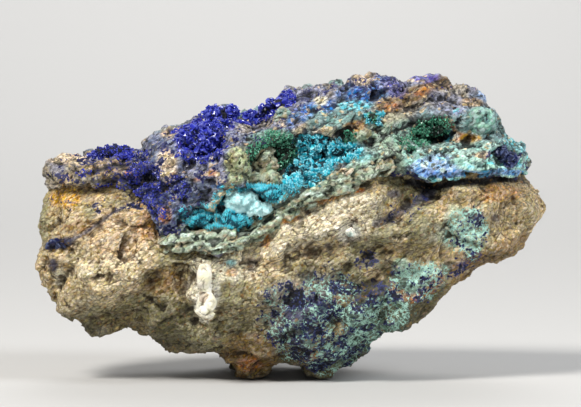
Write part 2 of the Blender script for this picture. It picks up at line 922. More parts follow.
HOST_STAINS = stains(
    # left block
    (Tint.CREAM, Spot(-36, 22.5, 9, 6), 0.8),
    (Tint.PINK_TAN, Spot(-34, 29, 8, 5), 0.8),
    (Tint.TAN, Spot(-45, 31, 4, 6), 0.6),
    (Tint.BROWN, Spot(-43, 30.2, 4, 1.2, 10), 0.7),
    (Tint.LIMONITE, Spot(-45.3, 36, 3, 2.2), 0.8),
    (Tint.DARK_BROWN, Spot(-38, 38, 5.5, 1.3), 0.7),
    (Tint.GREY_BROWN, Spot(-43, 15.5, 5, 3), 0.7),
    (Tint.ORANGE, Spot(-29, 30.5, 2.2, 3), 0.5),
    (Tint.BROWN, Spot(-26, 19, 5, 3), 0.7),
    (Tint.OLIVE_DARK, Spot(-28, 12, 10, 4), 0.6),
    (Tint.CREAM, Spot(-37, 16, 4, 2), 0.5),
    (Tint.PALE, Spot(-47, 20.3, 1.4, 1.6), 0.8),
    (Tint.NAVY, Spot(-48, 22.3, 0.9, 1.4), 0.9),
    (Tint.VIOLET_GREY, Streak(0.35, VEIN), 0.45),
    (Tint.NAVY, Streak(0.16, VEIN), 0.8),
    (Tint.NAVY, Spot(-46.6, 26.8, 2.9, 1.2, 12), 0.95),
    # middle
    (Tint.OLIVE, Spot(-6, 12, 10, 8), 0.7),
    (Tint.OLIVE, Spot(-16, 9, 6, 4), 0.6),
    (Tint.BROWN, Spot(-8, 4.5, 6, 5), 0.65),
    (Tint.RUST, Spot(-8.5, 2.5, 2.5, 1.6), 0.6),
    (Tint.WHITE, Spot(-17.2, 16.5, 2.6, 5), 0.9),
    (Tint.PALE, Spot(-17, 22, 3.6, 2.6), 0.8),
    (Tint.PALE, Spot(-20.5, 17.5, 1.3, 2.2), 0.7),
    (Tint.PALE, Spot(-11, 23, 5, 3.5), 0.6),
    (Tint.TURQUOISE, Spot(-12.2, 23, 1, 0.7), 0.5),
    (Tint.ORANGE, Spot(-12, 21, 1.2, 0.8), 0.5),
    (Tint.VIOLET_GREY, Spot(-7.8, 22.6, 1, 1.3), 0.7),
    (Tint.CREAM, Streak(6, ((-5, 26), (3, 28.5), (11, 32))), 0.5),
    (Tint.PALE, Streak(3.5, ((-4, 27.5), (3, 30), (10, 32), (15, 34))), 0.5),
    (Tint.WHITE, Spot(11.6, 28.8, 2.6, 2.2), 0.9),
    (Tint.ORANGE, Spot(-1, 32, 2.4, 1), 0.8),
    (Tint.ORANGE, Spot(7, 36, 3, 0.9, 20), 0.8),
    (Tint.ORANGE, Spot(-5.2, 27.4, 1, 1.6), 0.8),
    (Tint.RUST, Spot(13.8, 37.6, 1.2, 0.6), 0.9),
    (Tint.DARK_BROWN, Spot(3.3, 33.2, 0.6, 0.6)),
    (Tint.NAVY, Spot(7.4, 26.4, 0.9, 0.7), 0.6),
    # right block
    (Tint.OLIVE, Spot(6, 21.5, 7, 3.5), 0.6),
    (Tint.TAN, Spot(42, 33, 8, 7), 0.5),
    (Tint.ORANGE, Spot(41.5, 37.2, 4.5, 1.8), 0.5),
    (Tint.OLIVE_DARK, Spot(23.5, 37.5, 3.5, 2.5), 0.7),
    (Tint.NAVY, Spot(20.5, 36.8, 1.6, 0.9), 0.7),
    (Tint.NAVY, Spot(27.8, 37.3, 1.6, 2.4, -30), 0.8),
    (Tint.NAVY, Streak(0.8, ((17, 30.8), (20, 32), (23.5, 34.2), (26, 36))), 0.7),
    (Tint.MINT, Spot(33, 30, 3.8, 4.2), 0.35),
    (Tint.MINT_DEEP, Spot(36.2, 28.3, 3, 3.4), 0.4),
    (Tint.NAVY, Spot(36.3, 32.7, 2, 1), 0.7),
    (Tint.NAVY, Spot(41, 32, 1, 0.8), 0.6),
    (Tint.NAVY, Streak(0.9, ((31, 21.8), (34, 22.2), (37.5, 24.6))), 0.8),
    # lower right face
    (Tint.BROWN, Streak(2.8, ((20, 11), (30, 17), (38, 21.5), (46, 26.5))), 0.65),
    (Tint.OLIVE_DARK, Spot(14, 12.5, 18, 10, 30), 0.85),
    (Tint.DARK_BROWN, Spot(8, 10.5, 12, 7.5, 20), 0.6),
    (Tint.SLATE, Spot(5, 13, 10, 8), 0.4),
    (Tint.DARK_GREEN, Spot(15, 12, 13, 8, 35), 0.6),
    (Tint.DEEP_BLUE, Spot(4, 13, 6, 3), 0.4),
    (Tint.BROWN, Spot(6.5, 8.5, 2.6, 2.8), 0.7),
    (Tint.OLIVE, Spot(14.5, 21, 4, 2), 0.6),
    (Tint.BROWN, Spot(20, 12.5, 2, 1.6), 0.7),
    (Tint.TAN, Spot(10.5, 15.5, 2.2, 1.2), 0.5),
    (Tint.MINT_DEEP, Spot(17, 11.5, 8, 4.2, 35), 0.35),
    (Tint.MINT_DEEP, Spot(7.5, 6.5, 5.5, 5), 0.3),
    (Tint.MINT, Spot(25.5, 19.5, 5.2, 3, 20), 0.35),
    (Tint.MINT, Spot(22, 22.3, 1.8, 1.6), 0.5),
    (Tint.RUST, Streak(0.8, ((20.5, 17.5), (24, 15.5), (27.5, 17), (30, 19.8))), 0.6),
    (Tint.TAN, Spot(9.5, 9.5, 1.2, 1.8), 0.8),
    (Tint.TAN, Spot(16.8, 20.5, 2.2, 1.1), 0.7),
    (Tint.ORANGE, Spot(4.5, 4.5, 1, 1.3), 0.8),
    # the dark line under the shelf
    (Tint.BLACK_NAVY, Streak(0.8, UNDER_SHELF), 0.95),
)

HOST_BLUE = (
    (Spot(5, 12, 12, 10), 0.6),
    (Spot(9, 6, 6, 5), 0.75),
    (Spot(0, 16, 5, 2.4, -20), 0.8),
    (Spot(14.7, 23.3, 2.6, 2.4), 0.8),
    (Spot(5, 6, 6, 6), 0.7),
    (Spot(15, 13, 9, 6, 30), 0.65),
    (Spot(25, 19, 6.5, 4.5), 0.6),
    (Spot(36, 28.3, 3.8, 3.8), 0.6),
    (Spot(36.4, 32.5, 3, 2), 0.6),
    (Spot(-45.5, 35.5, 3.5, 2.5), 0.35),
    (Spot(-37, 34.3, 5, 1.6), 0.5),
    (Spot(-30, 36, 4, 2.4), 0.6),
    (Spot(23, 34, 6, 3, 30), 0.45),
    (Spot(34, 22.6, 6, 2, 20), 0.5),
)

HOST_GREEN = (
    (Spot(6, 11, 11, 9.5), 0.7),
    (Spot(17, 11.5, 9, 5, 35), 1),
    (Spot(25, 19, 6, 4, 20), 1),
    (Spot(35.5, 29, 4.5, 5), 1),
    (Spot(8, 5, 6, 5), 0.9),
)

HOST_DENTS = (
    Dent(1.4, Streak(1.1, tuple((x, z - 0.9) for x, z in CONTACT))),
    Dent(2.6, Streak(1.5, ((-21.8, 20.5), (-21.6, 16.5), (-20.6, 12.5), (-18.6, 10.8)))),
    Dent(2, Spot(-30, 11, 15, 4.5)),
    Dent(1.2, Spot(-25.5, 18.6, 4.5, 2.4)),
    Dent(1.6, Spot(24, 37.4, 3.6, 1.8)),
    Dent(1.2, Streak(0.8, UNDER_SHELF)),
    Dent(1.5, Streak(1, ((26.5, 35.5), (28, 37.5), (29.5, 39.5)))),
    Dent(1.2, Streak(0.9, ((17, 30.5), (20, 32), (24, 35)))),
    Dent(1.4, Spot(3.3, 33.2, 0.7, 0.7)),
    Dent(0.9, Streak(2.2, ((-6.5, 20.5), (0, 22.5), (7, 24.5), (13, 26)))),
    Dent(-0.9, Spot(-17.2, 16, 2.6, 5.2)),
    Dent(-0.8, Spot(-38, 21, 6, 3.4, -15)),
    Dent(-0.7, Spot(3, 29.5, 9, 3, 20)),
)

CRUST_STAINS = stains(
    # broad zones first
    (Tint.AQUA_GREY, Spot(28, 48, 24, 9), 0.75),
    (Tint.BLUE_GREY, Spot(-25, 36, 6, 12), 0.6),
    (Tint.VIOLET_GREY, Spot(28, 57, 16, 4), 0.6),
    (Tint.VIOLET_GREY, Streak(3, (*RIB, (4, 56))), 0.8),
    # left end and its ledge
    (Tint.GREY_BROWN, Spot(-44, 41, 8, 3.6), 0.8),
    (Tint.TAN, Spot(-45.5, 39.4, 2.4, 1.2), 0.7),
    (Tint.BLUE_GREY, Spot(-25.4, 33, 2.6, 5), 0.6),
    (Tint.VIOLET_GREY, Spot(-47, 42.2, 1.8, 1.6), 0.6),
    (Tint.PEACH, Spot(-45, 44.3, 4.8, 1.6), 0.9),
    (Tint.BROWN, Spot(-35.5, 42, 5.5, 2.2), 0.6),
    (Tint.PEACH, Spot(-38, 43, 1.8, 0.7), 0.6),
    (Tint.BLACK_NAVY, Streak(0.5, ((-41, 40.8), (-36.5, 42.4), (-31, 42.6))), 0.8),
    (Tint.BLACK_NAVY, Streak(0.5, ((-40, 39.4), (-34, 39.6), (-30, 37.5))), 0.8),
    (Tint.ORANGE, Spot(-32, 41, 1.4, 1), 0.8),
    (Tint.ULTRAMARINE, Streak(1.4, ((-40, 45.3), (-37, 46.3), (-33, 44.9))), 0.95),
    (Tint.ULTRAMARINE_DEEP, Spot(-29.6, 40.2, 3.2, 3.8), 0.75),
    (Tint.ULTRAMARINE_DEEP, Spot(-27, 35.5, 2.4, 4.2, 20), 0.6),
    (Tint.ULTRAMARINE_DEEP, Spot(-37, 37.4, 4, 1.1), 0.6),
    (Tint.BLUE_GREY, Spot(-25, 48.8, 5, 3.2), 0.6),
    (Tint.PEACH, Spot(-24.6, 49.6, 1.8, 1.6), 0.8),
    (Tint.DARK_BROWN, Spot(-24.5, 49.5, 0.9, 0.8), 0.95),
    (Tint.PEACH, Spot(-25.2, 42.6, 2.2, 3.2), 0.9),
    # azurite
    (Tint.ULTRAMARINE, Spot(-18.6, 47.4, 5, 4.2)),
    (Tint.ULTRAMARINE, Spot(-14.8, 52.2, 3.8, 2.8)),
    (Tint.ULTRAMARINE, Spot(-16.8, 50, 3.4, 3)),
    (Tint.ULTRAMARINE, Spot(-8.4, 52.4, 2.6, 1.7)),
    (Tint.ULTRAMARINE, Streak(1.4, ((-7, 52.2), (-3.6, 54.2), (-0.6, 56.2)))),
    (Tint.VIOLET_GREY, Spot(-13.4, 51.4, 1.5, 0.7, -20), 0.9),
    (Tint.PEACH, Spot(-15.6, 55.2, 0.9, 0.8), 0.9),
    (Tint.NAVY, Spot(3, 56.7, 1.6, 0.9), 0.9),
    (Tint.ULTRAMARINE, Spot(-20.5, 42.9, 1, 0.8), 0.9),
    # rib and the field below it
    (Tint.GREY_BROWN, Spot(-9.5, 50, 1.6, 1), 0.6),
    (Tint.GREY_BROWN, Spot(-5.5, 51, 1.5, 1), 0.6),
    (Tint.GREY_BROWN, Spot(-1.9, 52.2, 1.8, 1.5), 0.6),
    (Tint.VIOLET_GREY, Spot(-18, 42, 4.4, 2.2), 0.8),
    (Tint.ORANGE, Spot(-16, 41, 1.2, 0.6), 0.8),
    (Tint.ORANGE, Spot(-19, 39.6, 1, 0.6), 0.7),
    (Tint.SLATE, Spot(-18.5, 37.3, 4, 2.8), 0.8),
    (Tint.AZURE, Spot(-14.8, 38.6, 1.3, 0.7), 0.7),
    (Tint.ORANGE, Spot(-25.4, 32.6, 1.2, 1.8), 0.8),
    (Tint.ORANGE, Spot(-24.8, 28.4, 1.4, 0.9), 0.6),
    # green vug
    (Tint.TEAL, Spot(-14.5, 32, 7.4, 2.6)),
    (Tint.TEAL, Spot(-4.5, 36.2, 5, 2.6)),
    (Tint.TEAL, Spot(-11, 36.6, 4.4, 1.8)),
    (Tint.TEAL, Spot(0.5, 39.6, 2.6, 2.4)),
    (Tint.SILK, Spot(-10.5, 35.4, 3.8, 1.8, -15)),
    (Tint.SILK, Spot(-7, 34, 2.2, 1.4)),
    (Tint.CREAM, Streak(0.8, ((-16.8, 33.2), (-15.4, 35), (-13.4, 37.2))), 0.9),
    (Tint.GREY_BROWN, Spot(-16.2, 33.4, 1.2, 0.9), 0.8),
    (Tint.DARK_GREEN, Spot(-3.5, 44.8, 6, 4.6)),
    (Tint.MINT_DEEP, Spot(-4.5, 48.4, 5, 1.3, 8), 0.8),
    (Tint.SAGE, Spot(-5.4, 39.6, 3.6, 1.4), 0.95),
    (Tint.YELLOW_GREEN, Spot(-10.8, 42.4, 2.6, 3.8), 0.9),
    (Tint.OLIVE, Spot(-12.6, 38.2, 1.6, 1.3), 0.7),
    (Tint.TEAL, Spot(4, 43.6, 5, 5.2)),
    (Tint.TURQUOISE, Spot(11, 45.2, 3.6, 1.9)),
    (Tint.EMERALD, Spot(11.4, 48.2, 2, 1.3), 0.9),
    (Tint.PEACH, Spot(1.3, 50.2, 1.2, 1.6), 0.9),
    # lip and the slope over it
    (Tint.MINT, Spot(17, 42.6, 8.5, 3, 18), 0.8),
    (Tint.PEACH, Spot(10.6, 41, 2.2, 1.2), 0.5),
    (Tint.CYAN, Spot(16.2, 44.2, 2.6, 1.1, 20), 0.5),
    (Tint.SAGE, Streak(3, LIP), 0.8),
    (Tint.DARK_GREEN, Streak(2, LIP), 0.8),
    (Tint.SAGE, Spot(19, 49, 5, 4.2), 0.7),
    # upper middle
    (Tint.AQUA_GREY, Spot(9, 52, 6, 3.6), 0.9),
    (Tint.ORANGE, Spot(12.8, 50.4, 2.2, 1.2), 0.8),
    (Tint.PINK_TAN, Spot(7, 49.2, 2.6, 1.1), 0.7),
    (Tint.AZURE, Spot(1.8, 52.6, 3.8, 1.6, 40), 0.7),
    (Tint.AZURE, Spot(7.6, 54.6, 1.5, 1.4), 0.95),
    (Tint.PALE, Spot(6, 55.6, 1.3, 0.9), 0.9),
    (Tint.AZURE, Spot(14.5, 56.9, 5.2, 2), 0.85),
    (Tint.CYAN, Spot(13, 54.6, 3.8, 1), 0.7),
    (Tint.PEACH, Spot(14.4, 59.8, 2, 1.4), 0.8),
    (Tint.BROWN, Spot(17.5, 61.4, 2.2, 1), 0.6),
    (Tint.AZURE, Spot(18.2, 59.4, 2.4, 1.6), 0.4),
    # upper right
    (Tint.GREY_BROWN, Streak(2.6, ((18.5, 53.6), (23, 55.2), (27, 57), (33, 57.5))), 0.7),
    (Tint.BROWN, Streak(1.5, ((18.5, 54.3), (23, 55.8), (27, 58), (31, 59.5))), 0.75),
    (Tint.RUST, Spot(20, 54.4, 1.4, 0.9), 0.6),
    (Tint.RUST, Spot(26.6, 57.6, 2.2, 1, 30), 0.5),
    (Tint.DARK_BROWN, Spot(30, 59, 2.6, 1.2), 0.5),
    (Tint.VIOLET, Spot(26.4, 60.4, 2.9, 1.5), 0.85),
    (Tint.VIOLET_GREY, Spot(31.5, 55.2, 4.6, 1.9, -20), 0.7),
    (Tint.VIOLET, Spot(20.5, 58.4, 2.6, 1.6, -30), 0.6),
    (Tint.PERIWINKLE, Spot(38.8, 56.6, 1.6, 1.5), 0.7),
    (Tint.LIMONITE, Spot(36.5, 55.2, 2.2, 0.9), 0.5),
    (Tint.AQUA_GREY, Spot(38, 51.2, 3.4, 3), 0.9),
    (Tint.RUST, Streak(1, ((31.4, 51), (32.5, 48.6), (36, 47.8))), 0.85),
    (Tint.LIMONITE, Spot(35.8, 48.1, 2.4, 0.9), 0.8),
    (Tint.WHITE, Spot(33, 48.5, 0.9, 0.5)),
    (Tint.DARK_GREEN, Spot(27.8, 49.4, 4.6, 3.2), 0.95),
    (Tint.TEAL, Spot(31.6, 48.6, 1, 1.6), 0.9),
    (Tint.MINT_DEEP, Spot(22.4, 48.6, 2.4, 2), 0.5),
    # right shelf
    (Tint.MINT, Streak(2.6, ((25, 44), (33, 44.6), (42, 44.8), (46.5, 46.2))), 0.6),
    (Tint.PERIWINKLE, Spot(29.5, 44, 2.8, 1), 0.6),
    (Tint.ORANGE, Spot(38, 44.2, 2.4, 1.2), 0.6),
    (Tint.PERIWINKLE, Spot(28, 41.8, 4.4, 1.4), 0.85),
    (Tint.CYAN, Streak(0.8, ((30, 41.2), (36, 41.8), (43, 41.6))), 0.6),
    (Tint.CYAN, Spot(45.2, 46.8, 3, 1.8), 0.5),
    (Tint.BLACK_NAVY, Spot(43.2, 44, 3, 1.6), 0.9),
    (Tint.TEAL, Spot(45, 41.9, 2.2, 0.8), 0.6),
    (
        Tint.BLACK_NAVY,
        Streak(0.7, ((16, 39.2), (20, 40), (25, 40.2), (33, 39.9), (40, 40), (48, 40))), 0.9,
    ),
)

CRUST_BLUE = (
    (Spot(-38, 41, 12, 5), 0.55),
    (Spot(-42, 44, 2, 1.6), 0.8),
    (Spot(-29, 39, 4.5, 5), 0.8),
    (Spot(-25, 38, 5, 12), 0.6),
    (Streak(3.6, (*RIB, (6, 57))), 0.45),
    (Spot(-18, 39, 6, 4.5), 0.45),
    (Spot(17, 58.5, 8, 3.5), 0.55),
    (Spot(30, 57, 9, 3), 0.3),
    (Spot(43.5, 43.6, 5, 2.4), 0.7),
    (Streak(1.4, ((14, 38.8), (25, 40.6), (36, 40.8), (47, 40.4))), 0.7),
)

SHELF_STAINS = (
    Stain(Tint.PERIWINKLE, Spot(28.4, 42, 4.6, 2), 0.9),
    Stain(
        Tint.AZURE,
        Streak(0.7, ((25.5, 41.2), (30, 40.6), (34, 41), (38, 40.6), (42, 41.4), (46, 41))), 0.75,
    ),
    Stain(Tint.MINT_WHITE, Spot(26.8, 42.8, 0.8, 0.5, 20), 0.9),
    Stain(Tint.MINT_WHITE, Spot(28.8, 42.5, 0.9, 0.5, -20), 0.9),
    Stain(Tint.MINT_WHITE, Spot(30.4, 41.6, 0.6, 0.5), 0.9),
)

DRUSE_ZONES = tuple(stain.zone for stain in CRUST_STAINS if stain.tint is Tint.ULTRAMARINE)

DEEP_ZONES = (
    Spot(-29.8, 39.8, 3.8, 4.2), Spot(-27.2, 35.4, 1.9, 3.6, 20), Spot(-37, 37.6, 4.6, 1.3),
    Streak(1, ((-40, 44.4), (-37.5, 45.2), (-33, 44.4), (-30.5, 43))),
    Spot(-22.8, 37.6, 2.2, 2.4), Spot(-42, 41, 1.6, 0.7), Spot(-30.5, 44.6, 1.6, 1),
)

TUFT_ZONES = (
    Spot(4, 43.6, 4.8, 4.8), Spot(10.8, 45.2, 3.2, 1.9), Spot(0.4, 39.8, 2.4, 2.2),
    Spot(16.6, 52, 1.8, 1.5),
)
FELT_ZONES_LEFT = (Spot(-14.8, 32, 7.2, 2.6), Spot(-13.8, 35, 1.6, 1.6), Spot(-5, 33.4, 1.6, 1))
FELT_ZONES_LOWER = (
    Spot(-3.8, 36.8, 4.6, 2.2), Streak(1.3, ((-14.2, 35.6), (-13, 37.3), (-10, 37.6), (-6.5, 37))),
)
SILK_ZONES = (
    Spot(-11.2, 35.4, 3, 1.4, -15), Spot(-6.8, 33.9, 2.8, 1.4), Spot(-2.4, 35, 1.2, 0.6, 30),
)
GREEN_ZONES = (
    Spot(-3.6, 45.4, 5.2, 3.6), Spot(26.4, 49.2, 3, 2.2, 30), Spot(29.6, 50.2, 2.2, 2.4),
    Spot(24.8, 47.2, 2.8, 1.2), Spot(11.4, 48.3, 1.9, 1.3),
)

TUFT_LUMPS = (
    (-6.5, 37.4), (-4.2, 38), (-2, 37.2), (0.2, 39.6), (2.2, 41.8), (4.6, 40.8), (3.2, 44.4), (5.4, 43),
    (6.6, 46.2), (1, 44), (4.2, 47.4), (8.6, 43.6), (10.4, 45.4), (12.8, 45.8), (8.4, 46.6),
)

CRUST_DENTS = (
    Dent(1.2, Spot(3.8, 43.2, 6, 5.2)),
    *(Dent(-1.6, Spot(x, z, 1.3, 1.2)) for x, z in TUFT_LUMPS),
    Dent(-2.2, Spot(-10, 33.9, 4.4, 1.3, -15)),
    Dent(-0.6, Streak(1, ((-16.8, 33.2), (-15.2, 35.2), (-13, 37.4)))),
    Dent(-1.8, Spot(-14.8, 31.9, 7, 1.9)),
    Dent(-1, Spot(-3.8, 36.9, 4.2, 1.8)),
    Dent(1.6, Spot(-35, 39.6, 6.5, 1)),
    Dent(1.2, Streak(0.7, ((-41, 41), (-36.5, 42.4), (-31, 42.4), (-29, 40)))),
    Dent(1.5, Spot(-24.5, 49.4, 0.9, 0.8)),
    Dent(1, Streak(1.6, LIP)),
    Dent(1.4, Spot(-20.5, 42.9, 1.6, 0.9)),
    Dent(1.1, Streak(0.9, ((31.3, 51.4), (32.5, 48.8), (36, 47.4)))),
    Dent(1.2, Streak(0.9, ((24, 46.2), (30, 46.4), (37, 46.8)))),
    Dent(1.6, Spot(43.4, 44, 2.8, 1.5)),
    Dent(1.6, Spot(28.8, 49.4, 3, 2.2)),
    Dent(1, Streak(0.8, ((-12.5, 46.5), (-6, 49.6), (0, 51.2)))),
    Dent(1.2, Streak(0.8, ((19.5, 52.6), (24, 53.6), (30, 56.4)))),
    Dent(-0.9, Spot(17, 59.6, 3.4, 1.9)),
    Dent(-0.8, Spot(-9.4, 50, 1.6, 1.2)),
    Dent(-0.8, Spot(-1.9, 52.2, 2, 1.6)),
    Dent(-0.8, Spot(38, 51.2, 3, 2.6)),
)

CRUST_NOTCHES = (
    Notch(22.6, 2.4, 58.5, 1.8),
    Notch(10.6, 2.2, 57.5, 1.4),
    Notch(-10.5, 1.8, 53, 1),
    Notch(-22, 1.8, 48, 1),
    Notch(-30.4, 2, 45, 1),
    Notch(32.5, 1.6, 56.5, 1.2),
)


# ---- Finishes --------------------------------------------------------------------------------------


def attribute(g: Graph, name: str, colour: bool = False) -> Socket:
    """A named attribute, read in a material."""
    node = g.add("ShaderNodeAttribute", attribute_name=name)
    return node.outputs["Color" if colour else "Fac"]


def effect(name: str, inputs: dict[str, tuple], outputs: dict[str, tuple]) -> Callable:
    """As node_group, for a shader group."""
    return node_group("ShaderNodeTree", name, inputs, outputs)


@effect("Bedding", {"Dip": (FLOAT, 0.5), "Squeeze": (VECTOR, (0.55, 1.0, 1.0))}, {"Vector": (VECTOR,)})
def bedding(g: Graph, given: object) -> dict[str, Socket]:
    """Object coordinates, stretched along the bed of the rock."""
    where = g.add("ShaderNodeTexCoord").outputs["Object"]
    return {"Vector": bedded_place(g, where, given)}


@effect(
    "Grain tone",
    {"Color": (COLOUR, GREY), "Size": (FLOAT, 0.001), "Amount": (FLOAT, 0.5), "Shade": (FLOAT, 0.5)},
    {"Color": (COLOUR,), "Glint": (FLOAT,)},
)
def grain_tone(g: Graph, given: object) -> dict[str, Socket]:
    """Varies a colour from grain to grain and within each grain.

    Args:
        g: the group's graph.
        given: what its inputs give.

    Returns:
        What its outputs get.
    """
    where = g.add("ShaderNodeGroup", node_tree=bedding()).outputs[0]
    scale, cells = voronoi(g, where, given)
    parts = g.add("ShaderNodeSeparateColor", {"Color": cells["Color"]}).outputs
    smaller = g.times(scale, 1.9)
    fine = g.noise(where, smaller, 3.0, 0.65)
    by_cell = g.minus(parts[0], 0.5)
    by_noise = g.times(g.minus(fine[0], 0.5), 2.4)
    by_copy = g.minus(given["Shade"], 0.5)
    swing = g.plus(g.plus(by_cell, by_noise), by_copy)
    feeds = {
        "Hue": g.plus(g.times(g.minus(parts[1], 0.5), 0.035), 0.5),
        "Saturation": g.plus(g.times(g.minus(parts[2], 0.5), 0.6), 1.0),
        "Value": g.plus(g.times(swing, given["Amount"]), 1.0),
        "Color": given["Color"],
    }
    lit = g.add("ShaderNodeHueSaturation", feeds)
    edge = g.between(cells["Distance"], 0.5, 0.9)
    dark = g.blend(1.0, lit.outputs[0], (0.45, 0.42, 0.38, 1.0), mode="MULTIPLY")
    rimmed = g.blend(g.times(edge, given["Amount"]), lit.outputs[0], dark)
    return {"Color": rimmed, "Glint": g.between(parts[2], 0.84, 0.95)}


@effect("Grain pick", {"Size": (FLOAT, 0.001)}, {"Random": (FLOAT,)})
def grain_pick(g: Graph, given: object) -> dict[str, Socket]:
    """A random number for each small cell, to pick out single grains.

    Args:
        g: the group's graph.
        given: what its inputs give.

    Returns:
        What its outputs get.
    """
    where = g.add("ShaderNodeTexCoord").outputs["Object"]
    warp = g.noise(where, 300.0, 3.0)["Color"]
    bent = g.vector("ADD", where, g.scaled(warp, 0.0012))
    _, cells = voronoi(g, bent, given)
    return {"Random": g.add("ShaderNodeSeparateColor", {"Color": cells["Color"]}).outputs[1]}


@effect(
    "Speckle",
    {"Amount": (FLOAT, 0.5), "Size": (FLOAT, 0.001), "Net": (FLOAT, 0.0), "Offset": (VECTOR,)},
    {"Mask": (FLOAT,), "Deep": (FLOAT,)},
)
def speckle(g: Graph, given: object) -> dict[str, Socket]:
    """Ragged specks whose share of the surface grows with Amount.

    Args:
        g: the group's graph.
        given: what its inputs give.

    Returns:
        What its outputs get.
    """
    where = g.add("ShaderNodeTexCoord").outputs["Object"]
    moved = g.vector("ADD", where, given["Offset"])
    scale = g.math("DIVIDE", 1.0, given["Size"])
    noise = g.noise(moved, scale, 4.0, 0.62)[0]
    ridge = g.times(g.math("ABSOLUTE", g.minus(noise, 0.5)), 8.0)
    net = g.minus(0.74, ridge)
    level = g.add("ShaderNodeMix", {0: given["Net"], 2: noise, 3: net}).outputs[0]
    limit = g.minus(0.74, g.times(given["Amount"], 0.40))
    over = g.minus(level, limit)
    mask = g.times(g.between(over, -0.015, 0.03), g.between(given["Amount"], 0.03, 0.12))
    return {"Mask": mask, "Deep": g.between(over, 0.03, 0.10)}


@effect("Cracks", {"Size": (FLOAT, 0.004), "Width": (FLOAT, 0.05)}, {"Mask": (FLOAT,)})
def cracks(g: Graph, given: object) -> dict[str, Socket]:
    """Thin broken lines where grains part.

    Args:
        g: the group's graph.
        given: what its inputs give.

    Returns:
        What its outputs get.
    """
    where = g.add("ShaderNodeGroup", node_tree=bedding()).outputs[0]
    warp = g.noise(where, 420.0, 4.0)["Color"]
    bent = g.vector("ADD", where, g.scaled(warp, 0.0018))
    feeds = {"Vector": bent, "Scale": g.math("DIVIDE", 1.0, given["Size"])}
    cells = g.add("ShaderNodeTexVoronoi", feeds, feature="DISTANCE_TO_EDGE")
    broken = g.between(g.noise(where, 210.0)[0], 0.42, 0.62)
    line = g.between(cells.outputs["Distance"], given["Width"], 0.0)
    return {"Mask": g.times(line, broken)}


@effect(
    "Crack and ridge",
    {
        "Color": (COLOUR, GREY), "Relief": (FLOAT, 0.5), "Dirt": (COLOUR, (0.2, 0.15, 0.1, 1.0)),
        "Depth": (FLOAT, 0.8), "Edge": (FLOAT, 0.3),
    },
    {"Color": (COLOUR,)},
)
def dusk(g: Graph, given: object) -> dict[str, Socket]:
    """Darkens a colour in cracks and lightens it on ridges.

    Args:
        g: the group's graph.
        given: what its inputs give.

    Returns:
        What its outputs get.
    """
    deep = g.between(given["Relief"], 0.5, 0.05)
    high = g.between(given["Relief"], 0.55, 0.95)
    dark = g.blend(1.0, given["Color"], given["Dirt"], mode="MULTIPLY")
    low = g.blend(g.times(deep, given["Depth"]), given["Color"], dark)
    pale = g.blend(1.0, low, (0.16, 0.16, 0.15, 1.0), mode="ADD")
    return {"Color": g.blend(g.times(high, given["Edge"]), low, pale)}


@effect("Grain bump", {"Size": (FLOAT, 0.001)}, {"Height": (FLOAT,)})
def grain_bump(g: Graph, given: object) -> dict[str, Socket]:
    """Height of a granular face: small cells that each tilt their own way, under finer noise.

    Args:
        g: the group's graph.
        given: what its inputs give.

    Returns:
        What its outputs get.
    """
    where = g.add("ShaderNodeGroup", node_tree=bedding()).outputs[0]
    scale, cells = voronoi(g, where, given)
    tilt = g.vector("SUBTRACT", cells["Color"], MIDDLE)
    local = g.scaled(g.vector("SUBTRACT", where, cells["Position"]), scale)
    slope = g.times(g.vector("DOT_PRODUCT", tilt, local), 2.6)
    smaller = g.times(scale, 2.2)
    return {"Height": g.plus(slope, g.noise(where, smaller, 3.0, 0.7)[0])}


@dataclass(frozen=True)
class Finish:
    """What every finish has: a name, and a material that is made once."""

    name: str

    _made = {}

    def material(self) -> bpy.types.Material:
        """The finish's material.

        Returns:
            The same one at each call.
        """
        if self.name not in self._made:
            material = bpy.data.materials.new(self.name)
            material.use_nodes = True
            material.node_tree.nodes.clear()
            g = Graph(material.node_tree)
            surface = g.add("ShaderNodeBsdfPrincipled")
            g.add("ShaderNodeOutputMaterial", {"Surface": surface.outputs[0]})
            self.dress(g, surface.inputs)
            self._made[self.name] = material
        return self._made[self.name]

    def dress(self, g: Graph, surface: object) -> None:
        """Feeds the surface's sockets.

        Args:
            g: the graph of the material.
            surface: the sockets of its shader.
        """
        raise NotImplementedError

    def group(self, g: Graph, tree: Tree, **feeds: object) -> object:
        """Adds a shared group with what feeds its inputs, and gives its outputs."""
        return g.add("ShaderNodeGroup", feeds, node_tree=tree).outputs


